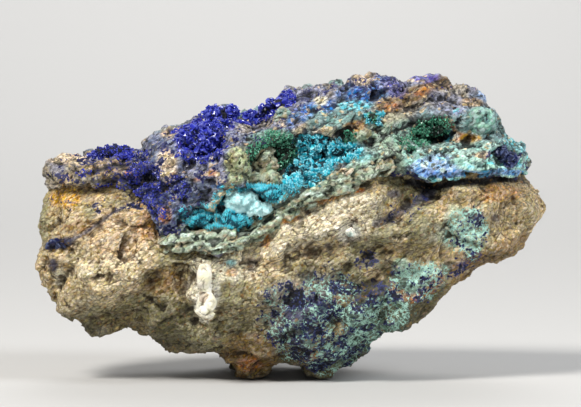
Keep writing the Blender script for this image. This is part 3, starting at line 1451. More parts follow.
@dataclass(frozen=True)
class RockFinish(Finish):
    """Granular rock or crust: painted tints, grains, specks of azurite and malachite, dark cracks."""

    grain: float = 0.75
    contrast: float = 0.6
    blue_size: float = 0.8
    green_size: float = 1.3
    net: float = 0.8
    blue_tints: tuple[Tint, Tint] = (Tint.NAVY, Tint.BLACK_NAVY)
    green_tints: tuple[Tint, Tint] = (Tint.MINT_DEEP, Tint.MINT)
    dirt: tuple[float, float, float, float] = (0.09, 0.06, 0.035, 1.0)
    depth: float = 0.92
    edge: float = 0.25
    crack: float = 3.4
    dark_grain: Tint = Tint.BROWN
    dark_share: float = 0.08
    pale_grain: Tint | None = None
    pale_share: float = 0.1
    roughness: float = 0.8
    bump: float = 0.8

    def dress(self, g: Graph, surface: object) -> None:
        """Feeds the surface's sockets.

        Args:
            g: the graph of the material.
            surface: the sockets of its shader.
        """
        shade = attribute(g, "shade")
        colour = attribute(g, "tint", colour=True)
        lightened = g.blend(1.0, colour, (1.5, 1.5, 1.45, 1.0), mode="MULTIPLY")
        pale_tint = self.pale_grain.rgba if self.pale_grain else lightened
        dark = g.between(shade, 1 - self.dark_share, 1 - self.dark_share + 0.02)
        colour = g.blend(g.times(dark, 0.85), colour, self.dark_grain.rgba)
        pale = g.between(shade, self.pale_share, self.pale_share - 0.02)
        colour = g.blend(g.times(pale, 0.8), colour, pale_tint)
        size = self.grain * MM
        pick = self.group(g, grain_pick(), Size=size * 1.3)["Random"]
        accents = ((0.0, self.dark_share, self.dark_grain.rgba), (1.0, self.pale_share, pale_tint))
        for end, share, tint in accents:
            near = g.between(g.math("ABSOLUTE", g.minus(pick, end)), share, share * 0.8)
            colour = g.blend(g.times(near, 0.7), colour, tint)
        feeds = {"Color": colour, "Size": size, "Amount": self.contrast, "Shade": shade}
        toned = self.group(g, grain_tone(), **feeds)
        colour = toned["Color"]
        specks = (
            ("green", self.green_tints, self.green_size, (0.02, 0.0, 0.0), self.net),
            ("blue", self.blue_tints, self.blue_size, (0.0, 0.03, 0.0), 0.0),
        )
        for name, (tint, deep), width, offset, net in specks:
            feeds = {"Amount": attribute(g, name), "Size": width * MM, "Offset": offset, "Net": net}
            speck = self.group(g, speckle(), **feeds)
            colour = g.blend(speck["Mask"], colour, g.blend(speck["Deep"], tint.rgba, deep.rgba))
        crack = self.group(g, cracks(), Size=self.crack * MM, Width=0.045)["Mask"]
        dark = g.blend(1.0, colour, self.dirt, mode="MULTIPLY")
        colour = g.blend(g.times(crack, 0.85), colour, dark)
        relief = attribute(g, "relief")
        feeds = {"Color": colour, "Relief": relief, "Dirt": self.dirt, "Depth": self.depth, "Edge": self.edge}
        g.feed(surface["Base Color"], self.group(g, dusk(), **feeds)["Color"])
        glint = g.times(toned["Glint"], 0.4)
        g.feed(surface["Roughness"], g.minus(self.roughness, glint))
        height = self.group(g, grain_bump(), Size=size)["Height"]
        bump = g.add("ShaderNodeBump", {"Height": height, "Strength": self.bump, "Distance": size * 0.7})
        g.feed(surface["Normal"], bump.outputs[0])


@dataclass(frozen=True)
class CrystalFinish(Finish):
    """Crystals on their dark root.

    Attribute tip goes from 0 on the root to 1, and attribute shade varies each copy. Crown is how much
    darker they are in hollows of their ground and lighter on its lumps.
    """

    root: Tint
    low: Tint
    high: Tint
    tip: Tint
    tip_share: float = 0.7
    roughness: float = 0.3
    grain: float = 0.5
    crown: float = 1.2

    def dress(self, g: Graph, surface: object) -> None:
        """Feeds the surface's sockets.

        Args:
            g: the graph of the material.
            surface: the sockets of its shader.
        """
        where = g.add("ShaderNodeTexCoord").outputs["Object"]
        shade, tip, relief = attribute(g, "shade"), attribute(g, "tip"), attribute(g, "relief")
        drift = g.times(g.minus(g.noise(where, 1.0 / (self.grain * MM))[0], 0.5), 1.6)
        crown = g.times(g.minus(relief, 0.5), self.crown)
        share = g.plus(g.plus(shade, drift), crown, clamp=True)
        body = g.blend(share, self.low.rgba, self.high.rgba)
        hollow = g.times(g.between(relief, 0.45, 0.05), self.crown)
        sunk = g.minus(1.0, hollow, clamp=True)
        grown = g.blend(g.times(g.between(tip, 0.02, 0.45), sunk), self.root.rgba, body)
        end = g.times(g.between(tip, 0.55, 1.0), g.times(share, self.tip_share))
        g.feed(surface["Base Color"], g.blend(end, grown, self.tip.rgba))
        g.feed(surface["Roughness"], g.between(tip, 0.3, 0.0, to=(self.roughness, 0.85)))


# ---- Crystal forms ---------------------------------------------------------------------------------


@dataclass(frozen=True)
class Form:
    """A small shape that is repeated: rooted at the origin, it grows along z. Sizes in millimetres."""

    name: str
    length: float = 1.0
    width: float = 0.3
    seed: int = 1

    def shape(self, work: Work, tip: object, draw: np.random.Generator) -> None:
        """Adds the form's vertices and faces.

        Args:
            work: the mesh to add to.
            tip: the layer for how far out each vertex is.
            draw: where random numbers come from.
        """
        raise NotImplementedError

    def build(self) -> Piece:
        """Makes the form as an object that is in no scene.

        Returns:
            The object.
        """
        work = bmesh.new()
        tip = work.verts.layers.float.new("tip")
        self.shape(work, tip, np.random.default_rng(self.seed))
        bmesh.ops.recalc_face_normals(work, faces=work.faces)
        bmesh.ops.scale(work, vec=(MM, MM, MM), verts=work.verts)
        return bpy.data.objects.new(self.name, mesh_of(work, self.name))


def mesh_of(work: Work, name: str) -> bpy.types.Mesh:
    """Turns work into a mesh, and frees it.

    Args:
        work: the mesh being built.
        name: its name.

    Returns:
        The mesh.
    """
    mesh = bpy.data.meshes.new(name)
    work.to_mesh(mesh)
    work.free()
    return mesh


def in_scene(name: str, data: bpy.types.ID) -> Piece:
    """A new object of the scene that shows the data.

    Args:
        name: its name.
        data: its mesh, light or camera.

    Returns:
        The object.
    """
    made = bpy.data.objects.new(name, data)
    bpy.context.scene.collection.objects.link(made)
    return made


def rings(work: Work, tip: object, stages: Sequence[tuple[Array, float]]) -> None:
    """Adds a closed spike through rings of points; a last ring of one point is its apex.

    Args:
        work: the mesh to add to.
        tip: the layer for the tip value.
        stages: each ring's points and its tip value, from the root out.
    """
    made = []
    for points, value in stages:
        ring = [work.verts.new(point) for point in points]
        for vertex in ring:
            vertex[tip] = value
        made.append(ring)
    work.faces.new(made[0][::-1])
    for low, high in zip(made, made[1:]):
        for index, vertex in enumerate(low):
            after = low[(index + 1) % len(low)]
            if len(high) == 1:
                work.faces.new((vertex, after, high[0]))
            else:
                work.faces.new((vertex, after, high[(index + 1) % len(high)], high[index]))
    if len(made[-1]) > 1:
        work.faces.new(made[-1])


@dataclass(frozen=True)
class Blade(Form):
    """A tabular crystal with a chisel end."""

    thickness: float = 0.3

    def shape(self, work: Work, tip: object, draw: np.random.Generator) -> None:
        """Adds a flat prism that narrows to a short ridge.

        Args:
            work: the mesh to add to.
            tip: the layer for how far out each vertex is.
            draw: where random numbers come from.
        """
        half_x, half_y = self.width / 2, self.thickness / 2
        plan = np.array([(-1, -0.7), (0.8, -1), (1, 0.7), (-0.8, 1)]) * (half_x, half_y)
        stages = []
        for scale, height, value in (((0.8, 0.9), -0.3, 0.1), ((1, 1), 0.6, 0.6), ((0.45, 0.12), 1.0, 1.0)):
            stages.append((np.column_stack([plan * scale, np.full(4, height * self.length)]), value))
        rings(work, tip, stages)


@dataclass(frozen=True)
class Spray(Form):
    """A few needles that spread from one root."""

    count: int = 6
    spread: float = 0.6

    def shape(self, work: Work, tip: object, draw: np.random.Generator) -> None:
        """Adds the needles, each three-sided and widest near its end.

        Args:
            work: the mesh to add to.
            tip: the layer for how far out each vertex is.
            draw: where random numbers come from.
        """
        for _ in range(self.count):
            turn, lean = draw.uniform(0, 2 * math.pi), self.spread * math.sqrt(draw.uniform())
            flat = np.array([math.cos(turn), math.sin(turn), 0.0])
            along = flat * math.sin(lean) + np.array([0.0, 0.0, math.cos(lean)])
            side = np.cross(along, [0.3, 0.9, 0.1])
            side /= np.linalg.norm(side)
            other = np.cross(along, side)
            length, half = self.length * draw.uniform(0.55, 1.0), self.width / 2 * draw.uniform(0.7, 1.2)
            start = flat * self.width * draw.uniform(0, 1.5)
            angles = draw.uniform(0, 2) + np.arange(3) * 2 * math.pi / 3
            plan = np.outer(np.cos(angles), side) * 1.4 + np.outer(np.sin(angles), other) * 0.7
            stages = [
                (start - along * 0.15 * length + plan * half * 0.5, 0.0),
                (start + along * 0.78 * length + plan * half, 0.75),
                ([start + along * length], 1.0),
            ]
            rings(work, tip, stages)


@dataclass(frozen=True)
class Chip(Form):
    """An angular grain of broken rock."""

    rough: float = 0.3

    def shape(self, work: Work, tip: object, draw: np.random.Generator) -> None:
        """Adds a lump with its corners pushed about.

        Args:
            work: the mesh to add to.
            tip: the layer for how far out each vertex is.
            draw: where random numbers come from.
        """
        bmesh.ops.create_icosphere(work, subdivisions=1, radius=0.5)
        for vertex in work.verts:
            push = 1 + draw.uniform(-self.rough, self.rough)
            vertex.co.x *= push * self.length
            vertex.co.y *= push * self.width
            vertex.co.z *= push * (self.length + self.width) / 2
            vertex[tip] = 0.5 + vertex.co.z / self.length


@dataclass(frozen=True)
class Growth:
    """How copies of a form cover a ground. Sizes in millimetres, and copies for each square millimetre."""

    form: Form
    spacing: float
    per_area: float
    smallest: float = 0.6
    largest: float = 1.3
    lean: float = 0.6
    sunk: float = 0.1
    seed: int = 1

    def run(self, piece: Piece, material: bpy.types.Material, keep_ground: bool) -> None:
        """Grows the copies from a piece that has attribute growth.

        Args:
            piece: the ground, which turns into the result.
            material: the material of the result.
            keep_ground: whether the ground stays in the result.
        """
        form = self.form.build()
        values = {
            "Form": form, "Spacing": self.spacing * MM, "Per Area": self.per_area / MM**2,
            "Smallest": self.smallest, "Largest": self.largest, "Lean": self.lean, "Sunk": self.sunk * MM,
            "Seed": self.seed, "Material": material, "Keep Ground": keep_ground,
        }
        run_tree(piece, scatter_tree(), values)
        mesh = form.data
        bpy.data.objects.remove(form)
        bpy.data.meshes.remove(mesh)


def away_from(surface: Surface, focus: tuple[float, float], sweep: float) -> Array:
    """Directions that fan out over the display face.

    Args:
        surface: the vertices that they are for.
        focus: where they come from.
        sweep: their length.

    Returns:
        One direction for each vertex.
    """
    away = np.column_stack([surface.across - focus[0], np.zeros(len(surface.x)), surface.up - focus[1]])
    return away / (np.linalg.norm(away, axis=1, keepdims=True) + 0.001) * sweep


@dataclass(frozen=True)
class Coating:
    """Crystals or grains that grow straight from a rock body."""

    name: str
    slot: str
    growth: Growth
    finish: Finish
    focus: tuple[float, float] = (0.0, 0.0)
    sweep: float = 0.0

    def build(self, ground: Piece, amounts: Array) -> None:
        """Grows the piece and fixes it to the specimen.

        Args:
            ground: the piece it grows from, which stays as it is.
            amounts: how thickly it grows at each vertex of the ground, from 0 to 1.
        """
        piece = in_scene(self.name, ground.data.copy())
        surface = Surface(piece)
        surface.store("growth", amounts)
        surface.store_direction("flow", away_from(surface, self.focus, self.sweep))
        self.growth.run(piece, self.finish.material(), keep_ground=False)
        place(piece, self.slot)


def place(piece: Piece, slot: str, *nodes: str) -> None:
    """Fixes a finished piece to the specimen, and reports it.

    Args:
        piece: the piece.
        slot: the material slot of the record that it belongs to.
        nodes: the plain solids that it stands in for.
    """
    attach(piece, BODY)
    if nodes:
        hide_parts(*nodes)
    LOG.info("%s: %d faces", piece.name, len(piece.data.polygons))


def dress(piece: Piece, finish: Finish) -> None:
    """Gives a piece its one material, and shades it smooth.

    Args:
        piece: the piece.
        finish: what it is made of.
    """
    piece.data.materials.clear()
    piece.data.materials.append(finish.material())
    piece.data.shade_smooth()


# ---- Rock pieces -----------------------------------------------------------------------------------


@dataclass(frozen=True)
class Swell:
    """Large noise that pushes a body in and out, in millimetres; a higher sink draws it in as a whole."""

    size: float
    height: float
    sink: float = 0.6

    def run(self, piece: Piece) -> None:
        """Moves a piece's vertices. Attribute held keeps them still."""
        values = {"Size": self.size * MM, "Height": self.height * MM, "Sink": self.sink}
        run_tree(piece, swell_tree(), values)


def copy_of(node: str, name: str) -> Piece:
    """Copies a CAD node's mesh and joins its loose triangles.

    Args:
        node: the node's name.
        name: the copy's name.

    Returns:
        The copy, as a new object of the scene.
    """
    work = bmesh.new()
    work.from_mesh(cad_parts[node].data)
    bmesh.ops.remove_doubles(work, verts=work.verts, dist=1e-6)
    return in_scene(name, mesh_of(work, name))


def remesh(piece: Piece, voxel: float, soften: int) -> None:
    """Remakes a closed piece in small even faces, and rounds it off.

    Args:
        piece: the piece.
        voxel: the width of a face, in millimetres.
        soften: how many times its vertices are averaged.
    """
    modifier = piece.modifiers.new("Voxels", "REMESH")
    modifier.mode = "VOXEL"
    modifier.voxel_size = voxel * MM
    modifier.use_smooth_shade = True
    keep_result(piece)
    run_tree(piece, soften_tree(), {"Steps": soften})


def break_flat(piece: Piece, share: float) -> None:
    """Breaks a finely meshed piece into flat facets, keeping a share of its faces.

    Args:
        piece: the piece.
        share: how many of its faces are left, from 0 to 1.
    """
    modifier = piece.modifiers.new("Facets", "DECIMATE")
    modifier.ratio = share
    keep_result(piece)


def into_box(points: Array, spare: float = 0.012) -> Array:
    """Keeps points within a small margin of the frame's box and above its floor.

    Args:
        points: the points, in millimetres.
        spare: the margin, as a share of each side.

    Returns:
        The points, moved where they were outside.
    """
    low, high = (np.array(corner) / MM for corner in CAD_BOX)
    margin = (high - low) * spare
    inside = np.clip(points, low - margin, high + margin)
    inside[:, 2] = np.maximum(inside[:, 2], low[2])
    return inside


def carve(piece: Piece, sizes: dict[str, float], span: float, steps: int = 8) -> Surface:
    """Cuts small relief into a piece that has attributes knobby and held, and measures it.

    Args:
        piece: the piece.
        sizes: input name of the relief tree to millimetres.
        span: height, in millimetres, from the floor of a crack to a ridge.
        steps: how wide a stretch that height is measured over.

    Returns:
        The piece's vertices as they were before they were kept within the frame's box.
    """
    run_tree(piece, rock_tree(), {name: value * MM for name, value in sizes.items()})
    run_tree(piece, cavities_tree(), {"Steps": steps, "Span": span * MM})
    surface = Surface(piece)
    surface.move(into_box(surface.points))
    return surface


@dataclass
class RockBody:
    """A rock body made fine from its plain solid."""

    node: str
    finish: RockFinish
    voxel: float
    facets: float
    swell: Swell
    relief: dict[str, float]
    span: float
    dents: tuple[Dent, ...]
    notches: tuple[Notch, ...]
    stains: tuple[Stain, ...]
    blue: tuple[Patch, ...]
    green: tuple[Patch, ...]

    ROUNDING = 14
    DENT_RIM = 0.45
    MOST_BLUE = 0.78

    def base_colour(self, surface: Surface) -> Array:
        """The colour of each vertex under the stains."""
        raise NotImplementedError

    def knobby(self, surface: Surface) -> Array:
        """0 where the surface is broken, 1 where it is knobbly."""
        raise NotImplementedError

    def back_specks(self, surface: Surface) -> Array:
        """Azurite specks away from the display face."""
        raise NotImplementedError

    def bonded(self, surface: Surface, points: Array) -> Array:
        """Moves a body where the two have to overlap.

        Args:
            surface: the body as it is.
            points: its vertices so far.

        Returns:
            The vertices it gets.
        """
        return points

    def build(self) -> Piece:
        """Builds the piece and dresses it.

        Returns:
            The piece.
        """
        piece = copy_of(self.node, self.node + "_finish")
        remesh(piece, self.voxel, self.ROUNDING)
        surface = Surface(piece)
        points = surface.points.copy()
        for dent in self.dents:
            points[:, 1] += dent.depth * surface.cover(dent.zone, soft=self.DENT_RIM)
        for notch in self.notches:
            points[:, 2] -= notch.lowered(surface.across, surface.up)
        surface.move(self.bonded(surface, points))
        surface.store("held", smooth_step(1.0, 0.3, surface.z))
        self.swell.run(piece)
        break_flat(piece, self.facets)
        remesh(piece, self.voxel, 1)
        surface = Surface(piece)
        surface.store("knobby", self.knobby(surface))
        surface.store("held", smooth_step(1.0, 0.3, surface.z))
        surface = carve(piece, self.relief, self.span)
        surface.store("tint", surface.paint(self.base_colour(surface), self.stains))
        blue, green = (0.8 + fractal_noise(surface.points / 2.6, 3, seed) for seed in (24, 25))
        specks = np.minimum(surface.strongest(self.blue) * blue, self.MOST_BLUE)
        surface.store("blue", np.maximum(specks, self.back_specks(surface) * (1 - surface.front)))
        surface.store("green", surface.strongest(self.green) * green)
        surface.store("shade", 0.5)
        dress(piece, self.finish)
        return piece


@dataclass
class HostRock(RockBody):
    """The granular host rock."""

    def base_colour(self, surface: Surface) -> Array:
        """Tan to olive in soft patches, darker and browner towards the underside.

        Args:
            surface: the body.

        Returns:
            The colour of each vertex.
        """
        patch = smooth_step(-0.5, 0.5, fractal_noise(surface.points / 9.0, 3, 21))[:, None]
        colour = Tint.OLIVE.linear * (1 - patch) + Tint.TAN.linear * patch
        low = smooth_step(21, 6, surface.z + 4 * surface.wobble)[:, None]
        colour += (Tint.OLIVE_DARK.linear * 0.5 - colour) * low * 0.85
        rust = smooth_step(0.45, 0.9, fractal_noise(surface.points / 5.0, 4, 22))[:, None]
        return colour + (Tint.BROWN.linear - colour) * rust * 0.6

    def knobby(self, surface: Surface) -> Array:
        """Broken all over."""
        return np.zeros(len(surface.x))

    def back_specks(self, surface: Surface) -> Array:
        """A few patches of azurite specks on the back."""
        return 0.5 * smooth_step(0.35, 0.8, fractal_noise(surface.points / 11.0, 2, 23))

    def bonded(self, surface: Surface, points: Array) -> Array:
        """Lifts the top of the rock into the crust, drawn in a little from its walls.

        Args:
            surface: the body as it is.
            points: its vertices so far.

        Returns:
            The vertices it gets.
        """
        line_x, line_z = np.array(CONTACT).T
        near = smooth_step(-2.6, -0.4, surface.up - np.interp(surface.across, line_x, line_z))[:, None]
        return points * (1 - near * (0.012, 0.05, 0.0)) + near * (0.0, 0.0, 2.6)


@dataclass
class Crust(RockBody):
    """The crust of copper minerals."""

    def base_colour(self, surface: Surface) -> Array:
        """Grey-violet, blue-grey and grey-brown, with aqua-grey patches on the back.

        Args:
            surface: the body.

        Returns:
            The colour of each vertex.
        """
        patch = smooth_step(-0.4, 0.4, fractal_noise(surface.points / 5.0, 3, 31))[:, None]
        colour = Tint.SLATE.linear * (1 - patch) + Tint.VIOLET_GREY.linear * patch
        dusty = smooth_step(-0.15, 0.45, fractal_noise(surface.points / 2.4, 4, 36))[:, None]
        colour += (Tint.GREY_BROWN.linear * 0.9 - colour) * dusty * 0.75
        aqua = smooth_step(0.0, 0.5, fractal_noise(surface.points / 10.0, 3, 32)) * (1 - surface.front)
        colour = colour + (Tint.AQUA_GREY.linear - colour) * aqua[:, None]
        rust = smooth_step(0.5, 0.9, fractal_noise(surface.points / 6.0, 4, 33))[:, None]
        return colour + (Tint.BROWN.linear - colour) * rust * 0.6

    def knobby(self, surface: Surface) -> Array:
        """Knobbly, with some broken stretches."""
        return smooth_step(-0.55, 0.1, fractal_noise(surface.points / 7.0, 2, 34))

    def back_specks(self, surface: Surface) -> Array:
        """Azurite specks over much of the back."""
        return 0.7 * smooth_step(-0.1, 0.7, fractal_noise(surface.points / 9.0, 3, 35))


# ---- Crystals and nodules --------------------------------------------------------------------------


@dataclass
class Lump:
    """A small body made fine from its plain solid.

    Shrink draws it in along its normals, and forward moves it out of the display face. Knob sizes its
    small relief, rugged its large relief, and facets is the share of faces that its breaks keep.
    """

    node: str
    slot: str
    voxel: float = 0.3
    soften: int = 6
    shrink: float = 0.0
    knob: float = 1.0
    knob_height: float = 0.4
    knobby: float = 1.0
    forward: float = 0.0
    rugged: float = 2.4
    facets: float = 1.0

    def lump(self) -> Piece:
        """The body with its relief, and attributes for the finishes.

        Returns:
            The piece, without its finish.
        """
        piece = copy_of(self.node, self.node + "_finish")
        remesh(piece, self.voxel, self.soften)
        surface = Surface(piece)
        outward = np.empty(len(surface.points) * 3)
        piece.data.vertices.foreach_get("normal", outward)
        surface.move(surface.points - outward.reshape(-1, 3) * self.shrink - (0.0, self.forward, 0.0))
        surface.store("held", 0.0)
        Swell(2.6, self.rugged, sink=0.55).run(piece)
        if self.facets < 1:
            break_flat(piece, self.facets)
            remesh(piece, self.voxel, 0)
        surface = Surface(piece)
        surface.store("knobby", self.knobby)
        surface.store("held", 0.0)
        sizes = {
            "Chunk Size": 2.6, "Chunk Height": 0.7,
            "Flake Size": self.knob * 1.4, "Flake Height": self.knob_height,
            "Grain Size": self.knob * 0.6, "Grain Height": self.knob_height * 0.2,
            "Knob Size": self.knob, "Knob Height": self.knob_height,
            "Bead Size": self.knob * 0.45, "Bead Height": self.knob_height * 0.4,
        }
        carve(piece, sizes, span=0.3, steps=6)
        return piece


@dataclass
class Cluster(Lump):
    """Crystals crowded over their lump, in place of one plain solid."""

    finish: CrystalFinish | None = None
    growth: Growth | None = None
    gaps: float = 0.9
    focus: tuple[float, float] | None = None
    sweep: float = 0.0

    def build(self) -> Piece:
        """Builds the piece and dresses it.

        Returns:
            The piece.
        """
        piece = self.lump()
        surface = Surface(piece)
        open_share = self.gaps * smooth_step(0.0, -0.5, fractal_noise(surface.points / 1.3, 3, 42))
        surface.store("growth", 1 - open_share)
        surface.store("tip", 0.0)
        surface.store("shade", 0.5)
        if self.focus:
            surface.store_direction("flow", away_from(surface, self.focus, self.sweep))
        self.growth.run(piece, self.finish.material(), keep_ground=True)
        return piece


@dataclass
class Nodule(Lump):
    """A knobbly nodule without crystals, in two tints."""

    voxel: float = 0.2
    soften: int = 10
    knob: float = 1.1
    knob_height: float = 0.6
    finish: RockFinish | None = None
    tints: tuple[Tint, Tint] = (Tint.SAGE, Tint.MINT)
    specks: float = 0.0

    def build(self) -> Piece:
        """Builds the piece and dresses it.

        Returns:
            The piece.
        """
        piece = self.lump()
        surface = Surface(piece)
        share = smooth_step(-0.4, 0.4, fractal_noise(surface.points / 1.6, 3, 41))[:, None]
        surface.store("tint", self.tints[0].linear * (1 - share) + self.tints[1].linear * share)
        surface.store("shade", 0.5)
        surface.store("blue", self.specks)
        surface.store("green", 0.0)
        dress(piece, self.finish)
        return piece


@dataclass
class LipSheets:
    """Ragged sheets of short slabs, one over another, that stand out of the crust along a line.

    Each sheet is its height above the line, its thickness and how far it stands out. Slab is the
    shortest and the longest slab.
    """

    name: str
    slot: str
    finish: RockFinish
    line: tuple[tuple[float, float], ...]
    sheets: tuple[tuple[float, float, float], ...]
    tints: tuple[Tint, ...]
    stains: tuple[Stain, ...] = ()
    slab: tuple[float, float] = (3.5, 11.0)
    swell: Swell = Swell(2.2, 0.8, 0.55)
    step: float = 0.3
    seed: int = 51

    FINE = 0.24
    FINEST = 0.2
    FACETS = 0.08
    GAP = 0.2
    OUTLINE = ((1.5, -0.5), (-0.95, -0.5), (-1.0, -0.35), (-0.85, 0.25), (-0.6, 0.5), (1.5, 0.5))
    # The least and most lift, push outwards, thickening and slant of a slab.
    SLAB_SPREAD = ((-0.15, 0.75, 0.92, -0.9), (0.15, 1.15, 1.1, 0.9))
    RELIEF = {
        "Chunk Size": 3.2, "Chunk Height": 0.2, "Flake Size": 1.4, "Flake Height": 0.14, "Grain Size": 0.6,
        "Grain Height": 0.1,
    }

    def build(self, ground: Piece) -> Piece:
        """Builds the sheets and dresses them.

        Args:
            ground: the piece whose front they stand out of.

        Returns:
            The finished piece.
        """
        piece = in_scene(self.name, self.slabs(ground))
        remesh(piece, self.FINE, 1)
        surface = Surface(piece)
        surface.store("held", 0.0)
        self.swell.run(piece)
        break_flat(piece, self.FACETS)
        remesh(piece, self.FINEST, 0)
        surface = Surface(piece)
        surface.store("knobby", 0.0)
        surface.store("held", 0.0)
        surface = carve(piece, self.RELIEF, span=0.5)
        share = fractal_noise(surface.points * (0.3, 0.5, 0.9), 4, self.seed + 3)[:, None]
        low, middle, high = (tint.linear for tint in self.tints)
        colour = low + (middle - low) * smooth_step(-0.5, 0.1, share)
        colour += (high - colour) * smooth_step(0.15, 0.6, share)
        surface.store("tint", surface.paint(colour, self.stains))
        for name, value in (("shade", 0.5), ("blue", 0.15), ("green", 0.0)):
            surface.store(name, value)
        dress(piece, self.finish)
        return piece

    def slabs(self, ground: Piece) -> bpy.types.Mesh:
        """The slabs as they are before they weather.

        Args:
            ground: the piece whose front they stand out of.

        Returns:
            One mesh of closed slabs.
        """
        corners = [vertex.co / MM for vertex in ground.data.vertices]
        tree = BVHTree.FromPolygons(corners, [face.vertices[:] for face in ground.data.polygons])
        work = bmesh.new()
        tip = work.verts.layers.float.new("tip")
        line = np.array(self.line)
        run = np.concatenate([[0], np.cumsum(np.hypot(*np.diff(line, axis=0).T))])
        along = np.arange(0, run[-1], self.step)
        x, z = np.interp(along, run, line[:, 0]), np.interp(along, run, line[:, 1])
        shared = np.column_stack([along, np.zeros(len(along)), np.zeros(len(along))])
        draw = np.random.default_rng(self.seed)
        for layer, (offset, thickness, proud) in enumerate(self.sheets):
            probe = shared + (0.0, 7.0 * layer, 0.0)
            level = z + offset + 0.7 * fractal_noise(shared / 5.0, 4, self.seed)
            reach = proud * (0.8 + 0.5 * fractal_noise(probe / 3.0, 5, self.seed + 9))
            start = 0.0
            while start < run[-1]:
                end = start + draw.uniform(*self.slab)
                lift, push, scale, slant = draw.uniform(*self.SLAB_SPREAD)
                sections = []
                for index in np.flatnonzero((along >= start) & (along < end - self.GAP)):
                    before = Vector((x[index], -60.0, level[index]))
                    hit = tree.ray_cast(before, Vector((0.0, 1.0, 0.0)))[0]
                    if hit is not None:
                        where = np.array([x[index], hit.y, level[index] + lift])
                        out = max(reach[index] * push, 0.2)
                        sections.append(self.section(where, out, thickness * scale, slant))
                self.close(work, sections, tip)
                start = end
        bmesh.ops.recalc_face_normals(work, faces=work.faces)
        return mesh_of(work, self.name)

    def section(self, where: Array, reach: float, thick: float, slant: float) -> Array:
        """A slab's outline at one place: blunt outside, and sunk into the ground.

        Args:
            where: the place on the ground.
            reach: how far the slab stands out.
            thick: its thickness.
            slant: how far its top runs ahead of its foot, as a share of the thickness.

        Returns:
            The corners of the outline.
        """
        outline = np.array(self.OUTLINE)
        depth = np.where(outline[:, 0] < 0, outline[:, 0] * reach, outline[:, 0])
        drop = 0.2 * np.minimum(depth, 0)
        across = slant * outline[:, 1] * thick
        return where + np.column_stack([across, depth, drop + outline[:, 1] * thick])

    def close(self, work: Work, sections: list, tip: object) -> None:
        """Skins one slab, narrower at both ends.

        Args:
            work: the mesh to add to.
            sections: the slab's outlines, in order. Fewer than three give no slab.
            tip: the layer for how far out each vertex is.
        """
        if len(sections) < 3:
            return
        ends = [0.85 * section + 0.15 * section.mean(axis=0) for section in (sections[0], sections[-1])]
        rings(work, tip, [(section * MM, 1.0) for section in (ends[0], *sections[1:-1], ends[1])])


# ---- Stage -----------------------------------------------------------------------------------------


@dataclass
class Studio:
    """A pale floor that sweeps up behind the specimen, soft lamps and the camera."""

    sideways: float = -0.2
    field_width: float = 116.9

    def build(self) -> None:
        """Builds the whole stage."""
        self.floor()
        self.lamps()
        self.camera()

    def floor(self) -> None:
        """A pale sweep: flat under the specimen, curved up behind it."""
        profile = [(-2.5, 0.0), (0.7, 0.0)]
        radius = 0.9
        for step in range(1, 17):
            turn = math.pi / 2 * step / 16
            profile.append((0.7 + radius * math.sin(turn), radius * (1 - math.cos(turn))))
        profile.append((0.7 + radius, 3.5))
        vertices = [(x, y, z) for y, z in profile for x in (-3.5, 3.5)]
        faces = [(2 * i, 2 * i + 1, 2 * i + 3, 2 * i + 2) for i in range(len(profile) - 1)]
        mesh = bpy.data.meshes.new("studio_floor")
        mesh.from_pydata(vertices, [], faces)
        mesh.shade_smooth()
        material = bpy.data.materials.new("Pale floor")
        material.use_nodes = True
        surface = material.node_tree.nodes["Principled BSDF"]
        surface.inputs["Base Color"].default_value = (0.5, 0.495, 0.485, 1.0)
        surface.inputs["Roughness"].default_value = 0.75
        mesh.materials.append(material)
        in_scene("studio_floor", mesh)

    def lamps(self) -> None:
        """Soft lamps around the specimen and one on the backdrop: place, size, power and colour."""
        lamps = (
            ("key", (-0.34, -0.42, 0.60), 0.22, 7.6, (1.0, 0.97, 0.92)),
            ("side", (0.50, -0.22, 0.40), 0.20, 3.0, (0.93, 0.96, 1.0)),
            ("fill", (0.05, -0.90, 0.10), 0.50, 0.8, (1.0, 1.0, 1.0)),
            ("rim", (0.05, 0.40, 0.60), 0.40, 1.2, (1.0, 1.0, 1.0)),
            ("backdrop", (0.0, 1.0, 0.75), 0.90, 8.0, (1.0, 1.0, 1.0)),
        )
        for name, place, size, power, colour in lamps:
            data = bpy.data.lights.new(name, "AREA")
            data.size = size
            data.energy = power
            data.color = colour
            lamp = in_scene(name, data)
            lamp.location = place
            target = Vector((0.0, 1.25, 0.1)) if name == "backdrop" else Vector((0.0, 0.0, 0.03))
            aim = target - Vector(place)
            lamp.rotation_euler = aim.to_track_quat("-Z", "Y").to_euler()
        world = bpy.data.worlds.new("Soft room")
        world.use_nodes = True
        background = world.node_tree.nodes["Background"].inputs
        background["Color"].default_value = (0.92, 0.95, 1.0, 1.0)
        background["Strength"].default_value = 0.14
        bpy.context.scene.world = world
        bpy.context.scene.view_settings.view_transform = "Standard"

    def camera(self) -> None:
        """The camera, square to the display face and a little above it."""
        data = bpy.data.cameras.new("camera")
        data.lens = VIEW_DISTANCE / self.field_width * data.sensor_width
        camera = in_scene("camera", data)
        target = Vector((self.sideways, 0.0, VIEW_HEIGHT)) * MM
        back = Vector((0.0, -math.cos(VIEW_TILT), math.sin(VIEW_TILT)))
        camera.location = target + back * VIEW_DISTANCE * MM
        camera.rotation_euler = (target - camera.location).to_track_quat("-Z", "Y").to_euler()
        data.clip_start = 0.01
        data.clip_end = 20.0
        bpy.context.scene.camera = camera


# ---- The whole specimen ----------------------------------------------------------------------------


